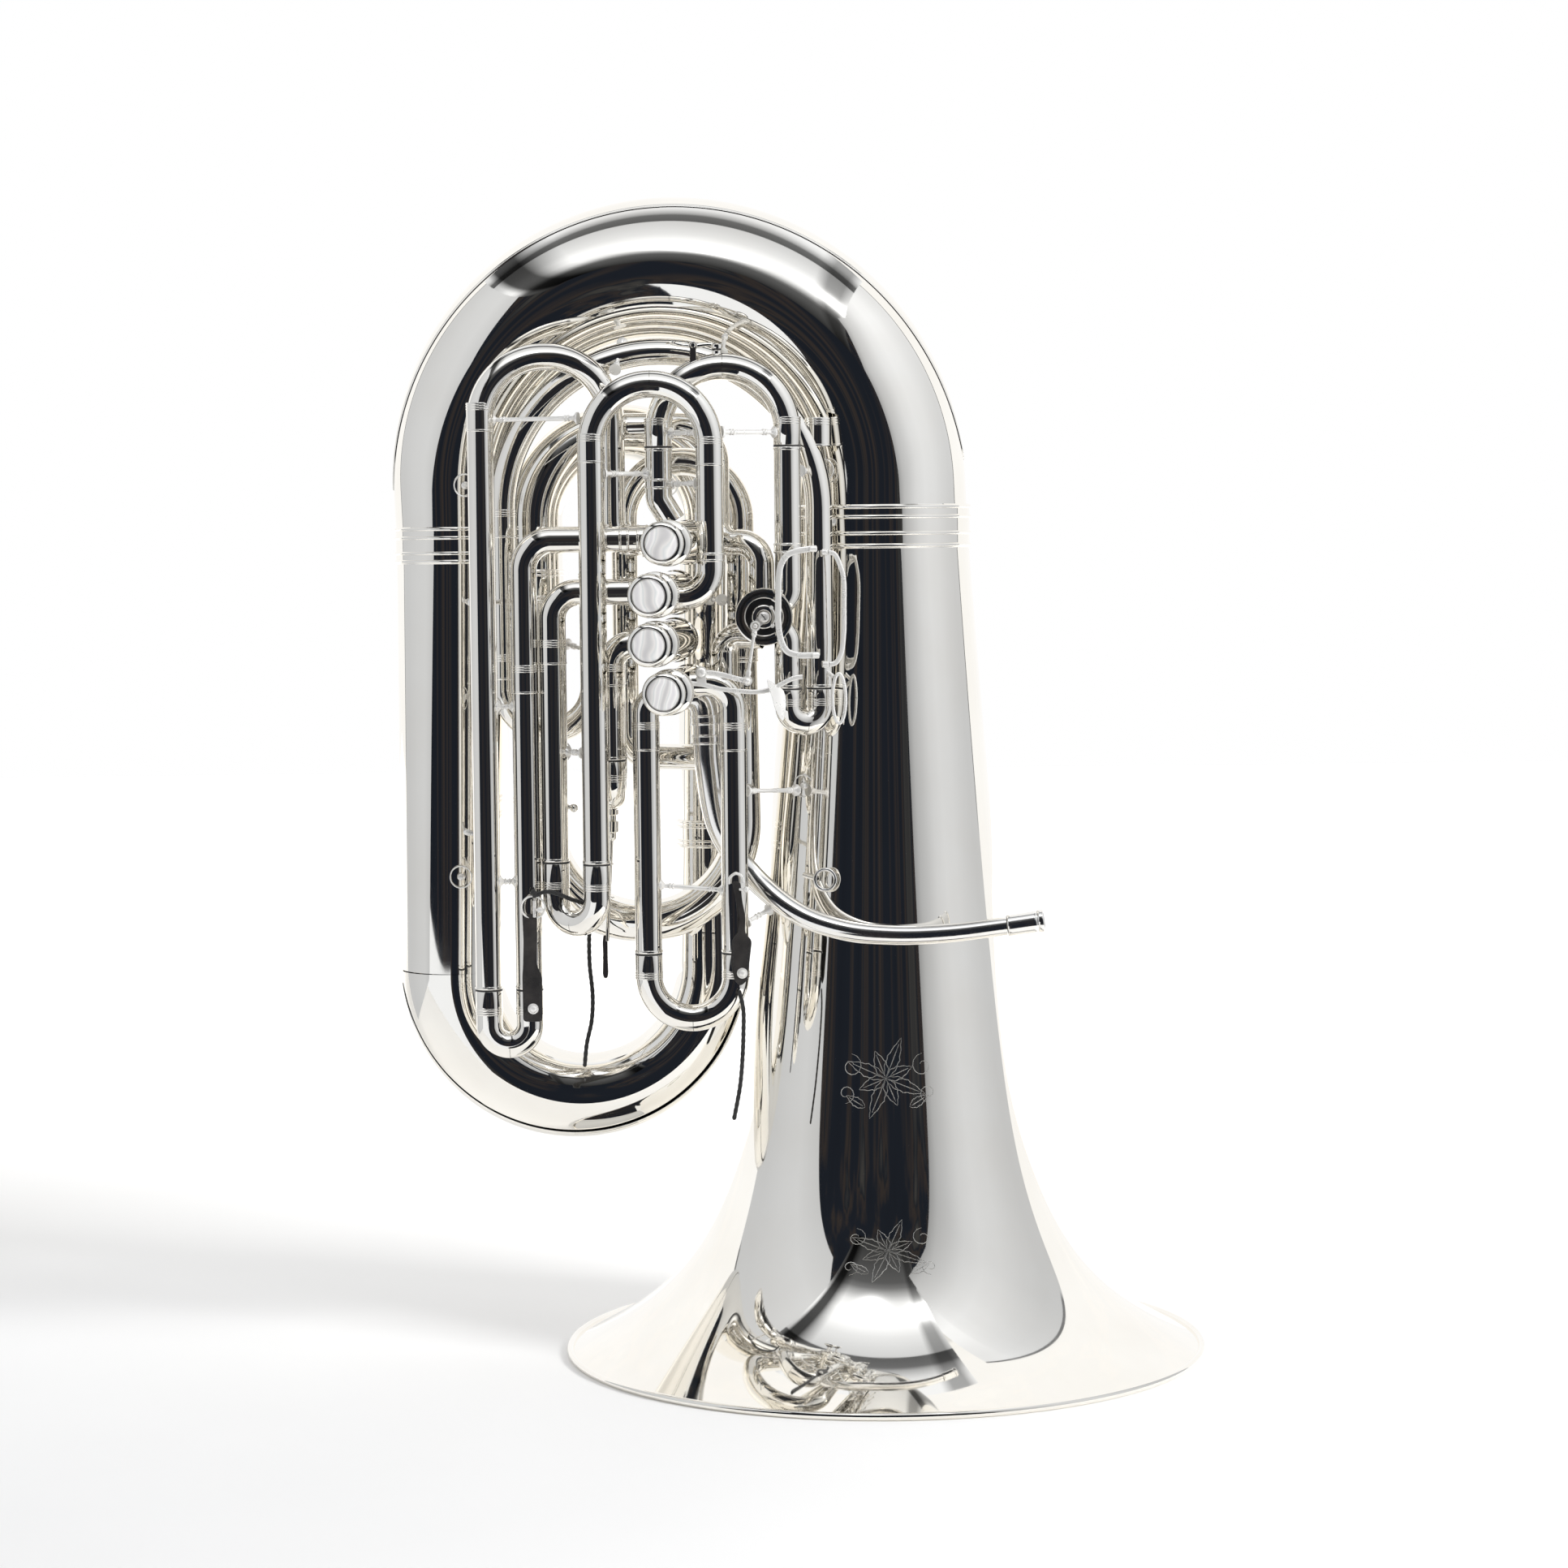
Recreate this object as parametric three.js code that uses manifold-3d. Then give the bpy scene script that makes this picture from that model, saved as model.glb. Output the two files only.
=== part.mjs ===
// Contrabass tuba with four front-action piston valves and a fifth rotary valve, stood on its bell rim.
// Millimetres, +Z up. In the working layout the bell's axis is X = Y = 0 and the rim rests on Z = 0;
// at the end the whole group is moved so that its origin is the bottom centre of its bounding box.
// X runs to the player's mouthpiece side, and -Y faces the player's fingers (the valve buttons).
import * as THREE from "three";
import { mergeVertices } from "three/addons/utils/BufferGeometryUtils.js";
import Module from "manifold-3d";

// ---- Driving dimensions -------------------------------------------------------------------------

const GAP = 0.3; // clearance between pieces that touch
const LEAN_GAP = 1; // the same where one of them leans a little

// Bell: outside radius at a height above the rim, a straight taper that two exponentials widen into the flare.
const bellRadius = (z) => 80 - 0.0412 * z + 51.34 * Math.exp(-z / 600) + 126.87 * Math.exp(-z / 56.17);
const BELL_FOOT = 7; // height where the wall meets the rim bead
const RIM_RADIUS = 254;
const RIM_BEAD = 3; // radius of the rolled bead on the rim
const BELL_WALL = 0.7;
const BELL_TOP = 655;
const BELL_SIDES = 28;

// Top bow, the large bend that the bell's throat runs into.
const BOW_RADIUS = 168;
const BOW_HEIGHT = 689;
const BOW_THICK_END = 70.3; // outside radius at the bell
const BOW_THIN_END = 45; // outside radius at the left branch
const BOW_LEFT_END = 645;
const LEFT_X = -2 * BOW_RADIUS;

// Bottom bow, the bend at the foot of the left branch.
const BOTTOM_RADIUS = 102.5;
const BOTTOM_HEIGHT = 307.5;
const BOTTOM_LEFT_X = -342;
const BOTTOM_RIGHT_X = BOTTOM_LEFT_X + 2 * BOTTOM_RADIUS;

// Inner branches, which taper from the bottom bow down to the bore of the valves.
const LARGE_TOP = 732;
const LARGE_LEG_X = -270;
const LARGE_LEG_Y = -16;
const LARGE_RIGHT_X = -134;
const LARGE_RIGHT_Y = 10; // set back, so that the middle branch passes in front
const MIDDLE_BOTTOM = 347;
const MIDDLE_RIGHT_X = -110;
const INNER_Y = -36;
const SMALL_TOP = 708;
const SMALL_LEFT_X = -200;
const OUTLET_HEIGHT = 478;

// Cylindrical valve tubing.
const TUBE = 10.25; // outside radius of every valve tube and crook
const BORE = 9.4; // inside radius of an outer slide leg
const INNER_LEG = BORE - GAP; // outside radius of an inner slide leg
const CROOK_BORE = 8.3;
const FRONT_Y = -122; // three layers of tubing, one behind another
const MIDDLE_Y = -100;
const BACK_Y = -78;

// Piston valves, from the fourth at the top to the first at the bottom: centre X and Z at VALVE_Y.
const VALVES = { 4: [-156, 645], 3: [-166, 606], 2: [-166.6, 569], 1: [-156, 532.5] };
const VALVE_Y = -85;
const VALVE_TILT = 7; // degrees that the buttons lean away from the bell
const CASING_RADIUS = 16.6;
const CASING_BORE = 15.2;
const CASING_BACK = -50; // along the valve's own axis, from VALVE_Y; + is towards the button
const CASING_FRONT = 50;
const CAP_RADIUS = 17.6;
const CAP_HEIGHT = 9; // top cap, with the guide hole for the stem
const FOOT_HEIGHT = 6; // bottom cap, with a vent hole
const FOOT_VENT = 1.5; // its radius
const PISTON_RADIUS = CASING_BORE - GAP;
const PISTON_WALL = 1.2;
const PISTON_TOP = 28; // along the valve's axis
const STEM_RADIUS = 3;
const STEM_GUIDE = STEM_RADIUS + 0.7;
const STROKE = 18;
const BUTTON_RADIUS = 16.6;
const BUTTON_HEIGHT = 8.6;

// Rotary fifth valve.
const ROTOR = [-91, 588];
const ROTOR_FRONT = -108;
const ROTOR_BACK = -64;
const ROTOR_CASING = 20;
const ROTOR_BORE = 17.4;
const ROTOR_RADIUS = 16.8; // small enough for its corners to turn inside the bore's flats
const ROTOR_WALL = 3; // the closed back of the casing
const ROTOR_CAP = 5; // height of the front cap
const ROTOR_HUB = 3; // radius of the spindle that carries the arm
const ARM_REACH = 9.3; // from the rotor's axis to the ball on its arm
const LEVER_PIVOT = [-139, 547];
const LEVER_BALL = [-104, 540];
const LEVER_Y = -128;
const LEVER_THICK = 2.5;
const LINK_OFFSET = 4.5; // the link rod lies this far behind the lever
const LINK_RADIUS = 1.5;

// Slides: X of both legs, height where the outer legs end, and how far the crook reaches below it.
const SLIDE_4 = { x: [-306, -274.5], y: [MIDDLE_Y, MIDDLE_Y], end: 303, bottom: 260, hidden: 120 };
const SLIDE_3 = { x: [-220.5, -253], y: [FRONT_Y, MIDDLE_Y], end: 401, bottom: 355, hidden: 110 };
const SLIDE_2 = { x: [-209, -209], y: [MIDDLE_Y, -72], end: 479, bottom: 450, hidden: 60 };
const SLIDE_1 = { x: [-182, -115.5], y: [-112, -112], end: 331, bottom: 281, hidden: 120 };
const SLIDE_5 = { x: [-73, -48], y: [-88, -80], end: 532, bottom: 506, hidden: 32 };
const MAIN_SLIDE = { x: [-170.5, -72], y: [-92, -92], end: 718, bottom: 779, hidden: -38 };

// Water key on the main slide's bow: X of its pivot, pad and finger end, its height, and its boss's width.
const WATER_KEY = { pivot: -143, pad: -125, tip: -163, height: 795, width: 8 };

// Leadpipe: outside and inside radius where it leaves the first valve and where it meets the receiver.
const PIPE = { start: 10.25, startBore: 9, end: 7, endBore: 5.5, steps: 17 };
// The receiver's rings and its waist, and its bore, which widens towards the mouth.
const RECEIVER = { ring: 8.2, waist: 7.4, bores: [5.5, 5.6, 5.7, 6, 6.3, 6.4] };

const LOOP_HEIGHT = 41; // half the height of a hand loop
const LOOP_BAND = 1.8;
const LOOP_WIDTH = 7;

const STRAP_THICK = 2;
const STRAP_CLEAR = 3; // from the front of a slide's legs to the middle of its strap
const CORD_RADIUS = 1.7;
const CORD_SIDES = 8;

// ---- Materials ----------------------------------------------------------------------------------

const silver = new THREE.MeshStandardMaterial({ color: 0xe9e6df, roughness: 0.08, metalness: 1 });
const steel = new THREE.MeshStandardMaterial({ color: 0xb9b7b2, roughness: 0.25, metalness: 1 });
const pearl = new THREE.MeshStandardMaterial({ color: 0xf1efe9, roughness: 0.2, metalness: 0 });
const leather = new THREE.MeshStandardMaterial({ color: 0x151413, roughness: 0.6, metalness: 0 });
const cord = new THREE.MeshStandardMaterial({ color: 0x0e0e0e, roughness: 0.8, metalness: 0 });

// ---- Solids -------------------------------------------------------------------------------------

const wasm = await Module();
wasm.setup();
const tuba = new THREE.Group();

function add(name, geometry, material, parent = tuba) {
  const mesh = new THREE.Mesh(geometry, material);
  mesh.name = name;
  parent.add(mesh);
  return mesh;
}

function solid(geometry) {
  const bare = geometry.index ? geometry.toNonIndexed() : geometry.clone();
  bare.deleteAttribute("normal");
  bare.deleteAttribute("uv");
  const merged = mergeVertices(bare, 1e-3);
  const triVerts = new Uint32Array(merged.index.array);
  return new wasm.Manifold(new wasm.Mesh({ numProp: 3, vertProperties: merged.attributes.position.array, triVerts }));
}

function fromSolid(manifold) {
  const mesh = manifold.getMesh();
  const geometry = new THREE.BufferGeometry();
  geometry.setAttribute("position", new THREE.BufferAttribute(new Float32Array(mesh.vertProperties), 3));
  geometry.setIndex(new THREE.BufferAttribute(new Uint32Array(mesh.triVerts), 1));
  return geometry;
}

function cut(geometry, ...cutters) {
  return fromSolid(cutters.reduce((left, cutter) => left.subtract(solid(cutter)), solid(geometry)));
}

function join(...geometries) {
  return fromSolid(geometries.map(solid).reduce((sum, next) => sum.add(next)));
}

// A body turned about its own Y axis from [radius, height] pairs.
function turned(profile, sides) {
  return new THREE.LatheGeometry(profile.map(([r, h]) => new THREE.Vector2(r, h)), sides);
}

// ---- Tubes along bent paths ---------------------------------------------------------------------

// Stations along straight runs with round bends: each corner is [x, y, z, bend radius].
function bentPath(corners, degreesPerStep = 30) {
  const points = corners.map(([x, y, z]) => new THREE.Vector3(x, y, z));
  const stations = [];
  const put = (point, tangent) => {
    const last = stations[stations.length - 1];
    if (!last || last.point.distanceTo(point) > 0.05) stations.push({ point, tangent });
  };
  let arrive = points[1].clone().sub(points[0]).normalize();
  put(points[0], arrive);
  for (let i = 1; i < points.length - 1; i++) {
    const leave = points[i + 1].clone().sub(points[i]).normalize();
    const turn = arrive.angleTo(leave);
    const radius = corners[i][3];
    const axis = arrive.clone().cross(leave).normalize();
    const start = points[i].clone().addScaledVector(arrive, -radius * Math.tan(turn / 2));
    const centre = start.clone().addScaledVector(axis.clone().cross(arrive), radius);
    const steps = Math.ceil(turn / THREE.MathUtils.degToRad(degreesPerStep) - 0.01);
    for (let k = 0; k <= steps; k++) {
      const angle = (turn * k) / steps;
      const spoke = start.clone().sub(centre).applyAxisAngle(axis, angle);
      put(centre.clone().add(spoke), arrive.clone().applyAxisAngle(axis, angle));
    }
    arrive = leave;
  }
  put(points[points.length - 1], arrive);
  return stations;
}

// Stations on one smooth curve through the given points.
function smoothPath(points, steps) {
  const curve = new THREE.CatmullRomCurve3(points.map(([x, y, z]) => new THREE.Vector3(x, y, z)));
  return Array.from({ length: steps + 1 }, (_, i) => ({
    point: curve.getPointAt(i / steps),
    tangent: curve.getTangentAt(i / steps),
  }));
}

// Fraction of the path's length at each station.
function fractions(stations) {
  const sums = [0];
  for (let i = 1; i < stations.length; i++) {
    sums.push(sums[i - 1] + stations[i].point.distanceTo(stations[i - 1].point));
  }
  return sums.map((s) => s / sums[sums.length - 1]);
}

// A tube, open at both ends, or a rod where there is no bore. It is a lathe body whose height is the
// station number, bent on to the stations. radius and bore are numbers or functions of (fraction, point).
function tube(stations, radius, bore, sides = 8, facing = new THREE.Vector3(0, 1, 0)) {
  const along = fractions(stations);
  const at = (value, i) => (typeof value === "function" ? value(along[i], stations[i].point) : value);
  const last = stations.length - 1;
  const rings = stations.map((_, i) => [at(radius, i), i]);
  if (bore) {
    for (let i = last; i >= 0; i--) rings.push([at(bore, i), i]);
    rings.push([...rings[0]]);
  } else {
    rings.unshift([0, 0]);
    rings.push([0, last]);
  }
  const geometry = turned(rings, sides);
  const normal = facing.clone();
  const frames = stations.map(({ tangent }) => {
    normal.addScaledVector(tangent, -normal.dot(tangent)).normalize();
    return { normal: normal.clone(), binormal: normal.clone().cross(tangent) };
  });
  const position = geometry.attributes.position;
  for (let k = 0; k < position.count; k++) {
    const i = Math.round(position.getY(k));
    const { normal: n, binormal: b } = frames[i];
    const place = stations[i].point.clone().addScaledVector(n, position.getX(k)).addScaledVector(b, position.getZ(k));
    position.setXYZ(k, place.x, place.y, place.z);
  }
  return geometry;
}

// Radius that runs evenly through the given values, spaced evenly along the path.
const taper = (...values) => (fraction) => {
  const spot = fraction * (values.length - 1);
  const i = Math.min(Math.floor(spot), values.length - 2);
  return THREE.MathUtils.lerp(values[i], values[i + 1], spot - i);
};

// Stations on a straight run, with extra ones at the given fractions of it where its radius steps.
function straight(from, to, marks = []) {
  const a = new THREE.Vector3(...from);
  const b = new THREE.Vector3(...to);
  const tangent = b.clone().sub(a).normalize();
  return [0, ...marks, 1].map((t) => ({ point: a.clone().lerp(b, t), tangent }));
}

// ---- Body: bell, bows and branches ---------------------------------------------------------------

function bell() {
  const steps = 12;
  const wall = Array.from({ length: steps + 1 }, (_, i) => {
    const z = BELL_FOOT + (BELL_TOP - BELL_FOOT) * (i / steps) ** 2;
    return [bellRadius(z), z];
  });
  const bead = [
    [RIM_RADIUS - 5, 0], [RIM_RADIUS, 0], [RIM_RADIUS + 2, RIM_BEAD],
    [RIM_RADIUS, 2 * RIM_BEAD], [RIM_RADIUS - 5, 2 * RIM_BEAD],
  ];
  const inside = wall.map(([r, z]) => [r - BELL_WALL, z - (z < 60 ? BELL_WALL : 0)]).reverse();
  const profile = [...bead, ...wall, ...inside, bead[0]];
  add("bell", turned(profile, BELL_SIDES).rotateX(Math.PI / 2), silver);
}

// The sleeve over the joint between the bell and the top bow.
function bellFerrule() {
  const inner = BOW_THICK_END + 1.8;
  const half = 15;
  const profile = [[inner, -half], [inner + 2, -half], [inner + 2, half], [inner, half], [inner, -half]];
  add("bell_ferrule", turned(profile, BELL_SIDES).rotateX(Math.PI / 2).translate(0, 0, BELL_TOP), silver);
}

const bowStations = () => bentPath([
  [0, 0, BELL_TOP + GAP],
  [0, 0, BOW_HEIGHT + BOW_RADIUS, BOW_RADIUS],
  [LEFT_X, 0, BOW_HEIGHT + BOW_RADIUS, BOW_RADIUS],
  [LEFT_X, 0, BOW_LEFT_END],
], 15);

function topBow() {
  const grow = (extra) => taper(BOW_THICK_END + extra, BOW_THIN_END + extra);
  const bow = tube(bowStations(), grow(0), grow(-0.8), 20);
  add("top_bow", bow, silver);
  // The guard is a skin on the outside of the bow, cut to a crescent by a disc a little below the bow's own.
  const skin = tube(bowStations(), grow(GAP + 1), grow(GAP), 20);
  const outer = BOW_RADIUS + (BOW_THICK_END + BOW_THIN_END) / 2;
  const disc = new THREE.CylinderGeometry(outer - 3, outer - 3, 200, 48);
  disc.translate(-BOW_RADIUS + (BOW_THICK_END - BOW_THIN_END) / 2, 0, BOW_HEIGHT - 6);
  const below = new THREE.BoxGeometry(700, 300, 200).translate(-BOW_RADIUS, 0, BOW_HEIGHT - 80);
  add("top_bow_guard", cut(skin, disc, below), silver);
}

function branches() {
  const left = straight([LEFT_X, 0, BOW_LEFT_END - LEAN_GAP], [BOTTOM_LEFT_X, 0, BOTTOM_HEIGHT + LEAN_GAP]);
  add("left_branch", tube(left, taper(45, 41), taper(44, 40), 16), silver);
  const bottom = bentPath([
    [BOTTOM_LEFT_X, 0, BOTTOM_HEIGHT],
    [BOTTOM_LEFT_X, 0, BOTTOM_HEIGHT - BOTTOM_RADIUS, BOTTOM_RADIUS],
    [BOTTOM_RIGHT_X, LARGE_RIGHT_Y, BOTTOM_HEIGHT - BOTTOM_RADIUS, BOTTOM_RADIUS],
    [BOTTOM_RIGHT_X, LARGE_RIGHT_Y, 410],
  ], 20);
  add("bottom_bow", tube(bottom, taper(41, 34, 28.5, 24.5), taper(40, 33, 27.5, 23.5), 14), silver);
  const large = bentPath([
    [BOTTOM_RIGHT_X, LARGE_RIGHT_Y, 410 + LEAN_GAP],
    [LARGE_RIGHT_X, LARGE_RIGHT_Y, LARGE_TOP, 69],
    [LARGE_LEG_X, LARGE_LEG_Y, LARGE_TOP, 69],
    [LARGE_LEG_X, LARGE_LEG_Y, 430],
  ]);
  add("large_inner_branch", tube(large, taper(24.5, 23, 21, 20), taper(23.5, 22, 20, 19), 12), silver);
  const middle = bentPath([
    [LARGE_LEG_X, LARGE_LEG_Y, 430 - GAP],
    [LARGE_LEG_X, LARGE_LEG_Y, MIDDLE_BOTTOM, 80],
    [MIDDLE_RIGHT_X, INNER_Y, MIDDLE_BOTTOM, 80],
    [MIDDLE_RIGHT_X, INNER_Y, 560],
  ]);
  add("middle_inner_branch", tube(middle, taper(19.5, 16.5, 14.5, 13), taper(18.5, 15.5, 13.5, 12), 12), silver);
  const small = bentPath([
    [MIDDLE_RIGHT_X, INNER_Y, 560 + GAP],
    [MIDDLE_RIGHT_X, INNER_Y, SMALL_TOP, 45],
    [SMALL_LEFT_X, INNER_Y, SMALL_TOP, 45],
    [SMALL_LEFT_X, INNER_Y, OUTLET_HEIGHT, 20],
    [-122, -64, OUTLET_HEIGHT, 20],
    [-122, -70, 573, 14],
    [ROTOR[0], -84, 573],
  ]);
  const body = tube(small, taper(12.5, 11, 10.25, 10.25, 10.25), taper(11.5, 10, 9.4, 9.4, 9.4), 10);
  add("small_inner_branch", cut(body, rotorCutter()), silver);
}

// ---- Valves -------------------------------------------------------------------------------------

// Local +Y of a valve points out of its button end.
const valveTurn = new THREE.Matrix4().makeRotationZ(THREE.MathUtils.degToRad(180 - VALVE_TILT));

function valveMatrix(number) {
  const [x, z] = VALVES[number];
  return new THREE.Matrix4().makeTranslation(x, VALVE_Y, z).multiply(valveTurn);
}

function valveCutter(number) {
  const cylinder = new THREE.CylinderGeometry(CASING_RADIUS + GAP, CASING_RADIUS + GAP, 110, 16);
  return cylinder.applyMatrix4(valveMatrix(number));
}

function rotorCutter() {
  const cylinder = new THREE.CylinderGeometry(ROTOR_CASING + GAP, ROTOR_CASING + GAP, 80, 16);
  return cylinder.translate(ROTOR[0], (ROTOR_FRONT + ROTOR_BACK) / 2, ROTOR[1]);
}

function valve(number) {
  const group = new THREE.Group();
  group.applyMatrix4(valveMatrix(number));
  tuba.add(group);
  const name = `valve_${number}`;
  const sides = 16;
  add(`${name}_casing`, turned([
    [CASING_BORE, CASING_BACK], [CASING_RADIUS, CASING_BACK], [CASING_RADIUS, CASING_FRONT],
    [CASING_BORE, CASING_FRONT], [CASING_BORE, CASING_BACK],
  ], sides), silver, group);
  const top = CASING_FRONT + GAP;
  const capTop = top + CAP_HEIGHT;
  add(`${name}_top_cap`, turned([
    [STEM_GUIDE, top], [CAP_RADIUS, top], [CAP_RADIUS, capTop - 2], [CAP_RADIUS - 4, capTop],
    [STEM_GUIDE, capTop], [STEM_GUIDE, top],
  ], sides), silver, group);
  const back = CASING_BACK - GAP;
  const foot = back - FOOT_HEIGHT;
  add(`${name}_bottom_cap`, turned([
    [FOOT_VENT, foot], [CAP_RADIUS - 5, foot], [CAP_RADIUS, foot + 2], [CAP_RADIUS, back],
    [FOOT_VENT, back], [FOOT_VENT, foot],
  ], sides), silver, group);
  // The piston is a thin cup, open at the back, with its stem on the closed end.
  const hollow = PISTON_RADIUS - PISTON_WALL;
  const pistonBack = CASING_BACK + STROKE + FOOT_HEIGHT;
  const stemTop = capTop + STROKE + 2;
  add(`${name}_piston`, turned([
    [0, PISTON_TOP - 2], [hollow, PISTON_TOP - 2], [hollow, pistonBack],
    [PISTON_RADIUS, pistonBack], [PISTON_RADIUS, PISTON_TOP], [STEM_RADIUS, PISTON_TOP],
    [STEM_RADIUS, stemTop], [0, stemTop],
  ], sides), steel, group);
  const cup = stemTop + GAP;
  add(`${name}_button`, turned([
    [0, cup], [7, cup], [BUTTON_RADIUS, cup + 4], [BUTTON_RADIUS, cup + 7],
    [BUTTON_RADIUS - 3.4, cup + 8], [0, cup + BUTTON_HEIGHT],
  ], sides), pearl, group);
}

// ---- Slides and their tubing --------------------------------------------------------------------

// The sliding crook: two inner legs that reach into the outer legs, and the bow that joins them.
function crook(slide) {
  const [x1, x2] = slide.x;
  const [y1, y2] = slide.y;
  const spread = Math.hypot(x2 - x1, y2 - y1);
  const way = Math.sign(slide.hidden);
  const deep = slide.end + slide.hidden;
  const mouth = slide.end - way * 0.8;
  const corners = [
    [x1, y1, deep], [x1, y1, mouth, 0], [x1, y1, mouth - way * 0.5, 0],
    [x1, y1, slide.bottom, spread / 2], [x2, y2, slide.bottom, spread / 2],
    [x2, y2, mouth - way * 0.5, 0], [x2, y2, mouth, 0], [x2, y2, deep],
  ];
  const path = legs(corners);
  const radius = (_, point) => ((point.z - mouth) * way > -0.1 ? INNER_LEG : TUBE);
  return tube(path, radius, CROOK_BORE, 8, planeNormal(slide));
}

// A path with extra stations on its two straight legs, where the outside steps from leg to bow.
function legs(corners) {
  const bow = bentPath([corners[2], corners[3], corners[4], corners[5]]);
  const down = bow[0].tangent;
  const up = bow[bow.length - 1].tangent;
  const at = ([x, y, z], tangent) => ({ point: new THREE.Vector3(x, y, z), tangent });
  return [at(corners[0], down), at(corners[1], down), ...bow, at(corners[6], up), at(corners[7], up)];
}

function planeNormal(slide) {
  const across = new THREE.Vector3(slide.x[1] - slide.x[0], slide.y[1] - slide.y[0], 0).normalize();
  return across.cross(new THREE.Vector3(0, 0, 1));
}

// A fixed valve tube, cut to fit the casing that it ends in.
function valveTube(name, corners, slide, casing, degreesPerStep = 30) {
  const body = tube(bentPath(corners, degreesPerStep), TUBE, BORE, 8, planeNormal(slide));
  add(name, cut(body, casing), silver);
}

function fourthSlide() {
  const { x, y, end } = SLIDE_4;
  const archTop = 788;
  valveTube("fourth_slide_arch", [
    [x[0], y[0], end], [x[0], y[0], archTop, 49], [-207, BACK_Y, archTop, 49],
    [-207, BACK_Y, 645, 18], [VALVES[4][0], BACK_Y, 645],
  ], SLIDE_4, valveCutter(4));
  valveTube("fourth_slide_return", [
    [x[1], y[1], end], [x[1], y[1], 648, 22], [VALVES[4][0], MIDDLE_Y, 648],
  ], SLIDE_4, valveCutter(4));
  add("fourth_slide_crook", crook(SLIDE_4), silver);
}

function thirdSlide() {
  const { x, y, end } = SLIDE_3;
  const archTop = 765;
  const right = -131;
  valveTube("third_slide_arch", [
    [x[0], y[0], end], [x[0], y[0], archTop, 44.7], [right, FRONT_Y, archTop, 44.7],
    [right, FRONT_Y, 604, 22], [VALVES[3][0] - 4, FRONT_Y, 604],
  ], SLIDE_3, valveCutter(3));
  valveTube("third_slide_return", [
    [x[1], y[1], end], [x[1], y[1], 608, 20], [VALVES[3][0], MIDDLE_Y, 608],
  ], SLIDE_3, valveCutter(3));
  add("third_slide_crook", crook(SLIDE_3), silver);
}

function secondSlide() {
  const { x, y, end } = SLIDE_2;
  ["front", "back"].forEach((side, i) => {
    valveTube(`second_slide_${side}_tube`, [
      [x[i], y[i], end], [x[i], y[i], 568, 18], [VALVES[2][0], y[i], 568],
    ], SLIDE_2, valveCutter(2));
  });
  // The pull rod ends in a flat spoon for the thumb.
  const rodY = (y[0] + y[1]) / 2;
  const rodTop = SLIDE_2.bottom - TUBE + 3;
  const rod = tube(straight([x[0], rodY, rodTop], [x[0] - 6, rodY, 330]), 1.6, 0, 8);
  const spoon = new THREE.CylinderGeometry(4, 4, 3, 12).rotateX(Math.PI / 2).scale(1, 1, 4);
  spoon.translate(x[0] - 7, rodY, 325);
  add("second_slide_crook", join(crook(SLIDE_2), rod, spoon), silver);
}

function firstSlide() {
  const { x, y, end } = SLIDE_1;
  valveTube("first_slide_left_tube", [
    [x[0], y[0], end], [x[0], y[0], 527, 11], [VALVES[1][0], y[0], 527],
  ], SLIDE_1, valveCutter(1));
  valveTube("first_slide_right_tube", [
    [x[1], y[1], end], [x[1], y[1], 538, 20], [VALVES[1][0], y[1], 538],
  ], SLIDE_1, valveCutter(1));
  add("first_slide_crook", crook(SLIDE_1), silver);
}

function mainSlide() {
  const { x, y, end } = MAIN_SLIDE;
  valveTube("main_slide_inlet", [
    [x[0], y[0], end], [x[0], y[0], 678, 12], [VALVES[4][0] - 1, y[0], 655],
  ], MAIN_SLIDE, valveCutter(4));
  valveTube("main_slide_outlet", [
    [x[1], y[1], end], [x[1], y[1], 599, 12], [ROTOR[0], y[1], 597],
  ], MAIN_SLIDE, rotorCutter());
  // The nipple under the water key's pad, and the two ears that hold the key's pivot between them.
  const nipple = new THREE.CylinderGeometry(4.5, 4.5, 5.8, 8).rotateX(Math.PI / 2);
  nipple.translate(WATER_KEY.pad, y[0], WATER_KEY.height - 7.1);
  const ear = (side) => new THREE.BoxGeometry(5, 2, 22)
    .translate(WATER_KEY.pivot, y[0] + side * (WATER_KEY.width / 2 + 1.3), WATER_KEY.height - 8);
  add("main_slide_crook", join(crook(MAIN_SLIDE), nipple, ear(-1), ear(1)), silver);
}

function fifthSlide() {
  const { x, y, end } = SLIDE_5;
  valveTube("fifth_valve_inlet", [
    [x[0], y[0], end], [x[0], y[0], 577, 11], [ROTOR[0], y[0], 579],
  ], SLIDE_5, rotorCutter());
  valveTube("fifth_valve_loop", [
    [x[1], y[1], end], [x[1], y[1], 570, 40], [x[1], -66, 792, 122],
    [-293, -55, 792, 122], [-293, -55, 500, 34], [-224.5, -55, 500, 34],
    [-224.5, -55, 735, 30], [-127, -60, 735, 30], [-127, -72, 645, 16],
    [-93, -82, 645, 18], [-93, -84, ROTOR[1]],
  ], SLIDE_5, rotorCutter(), 22.5);
  add("fifth_slide_crook", crook(SLIDE_5), silver);
}

// ---- Rotary valve and its lever ------------------------------------------------------------------

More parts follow.
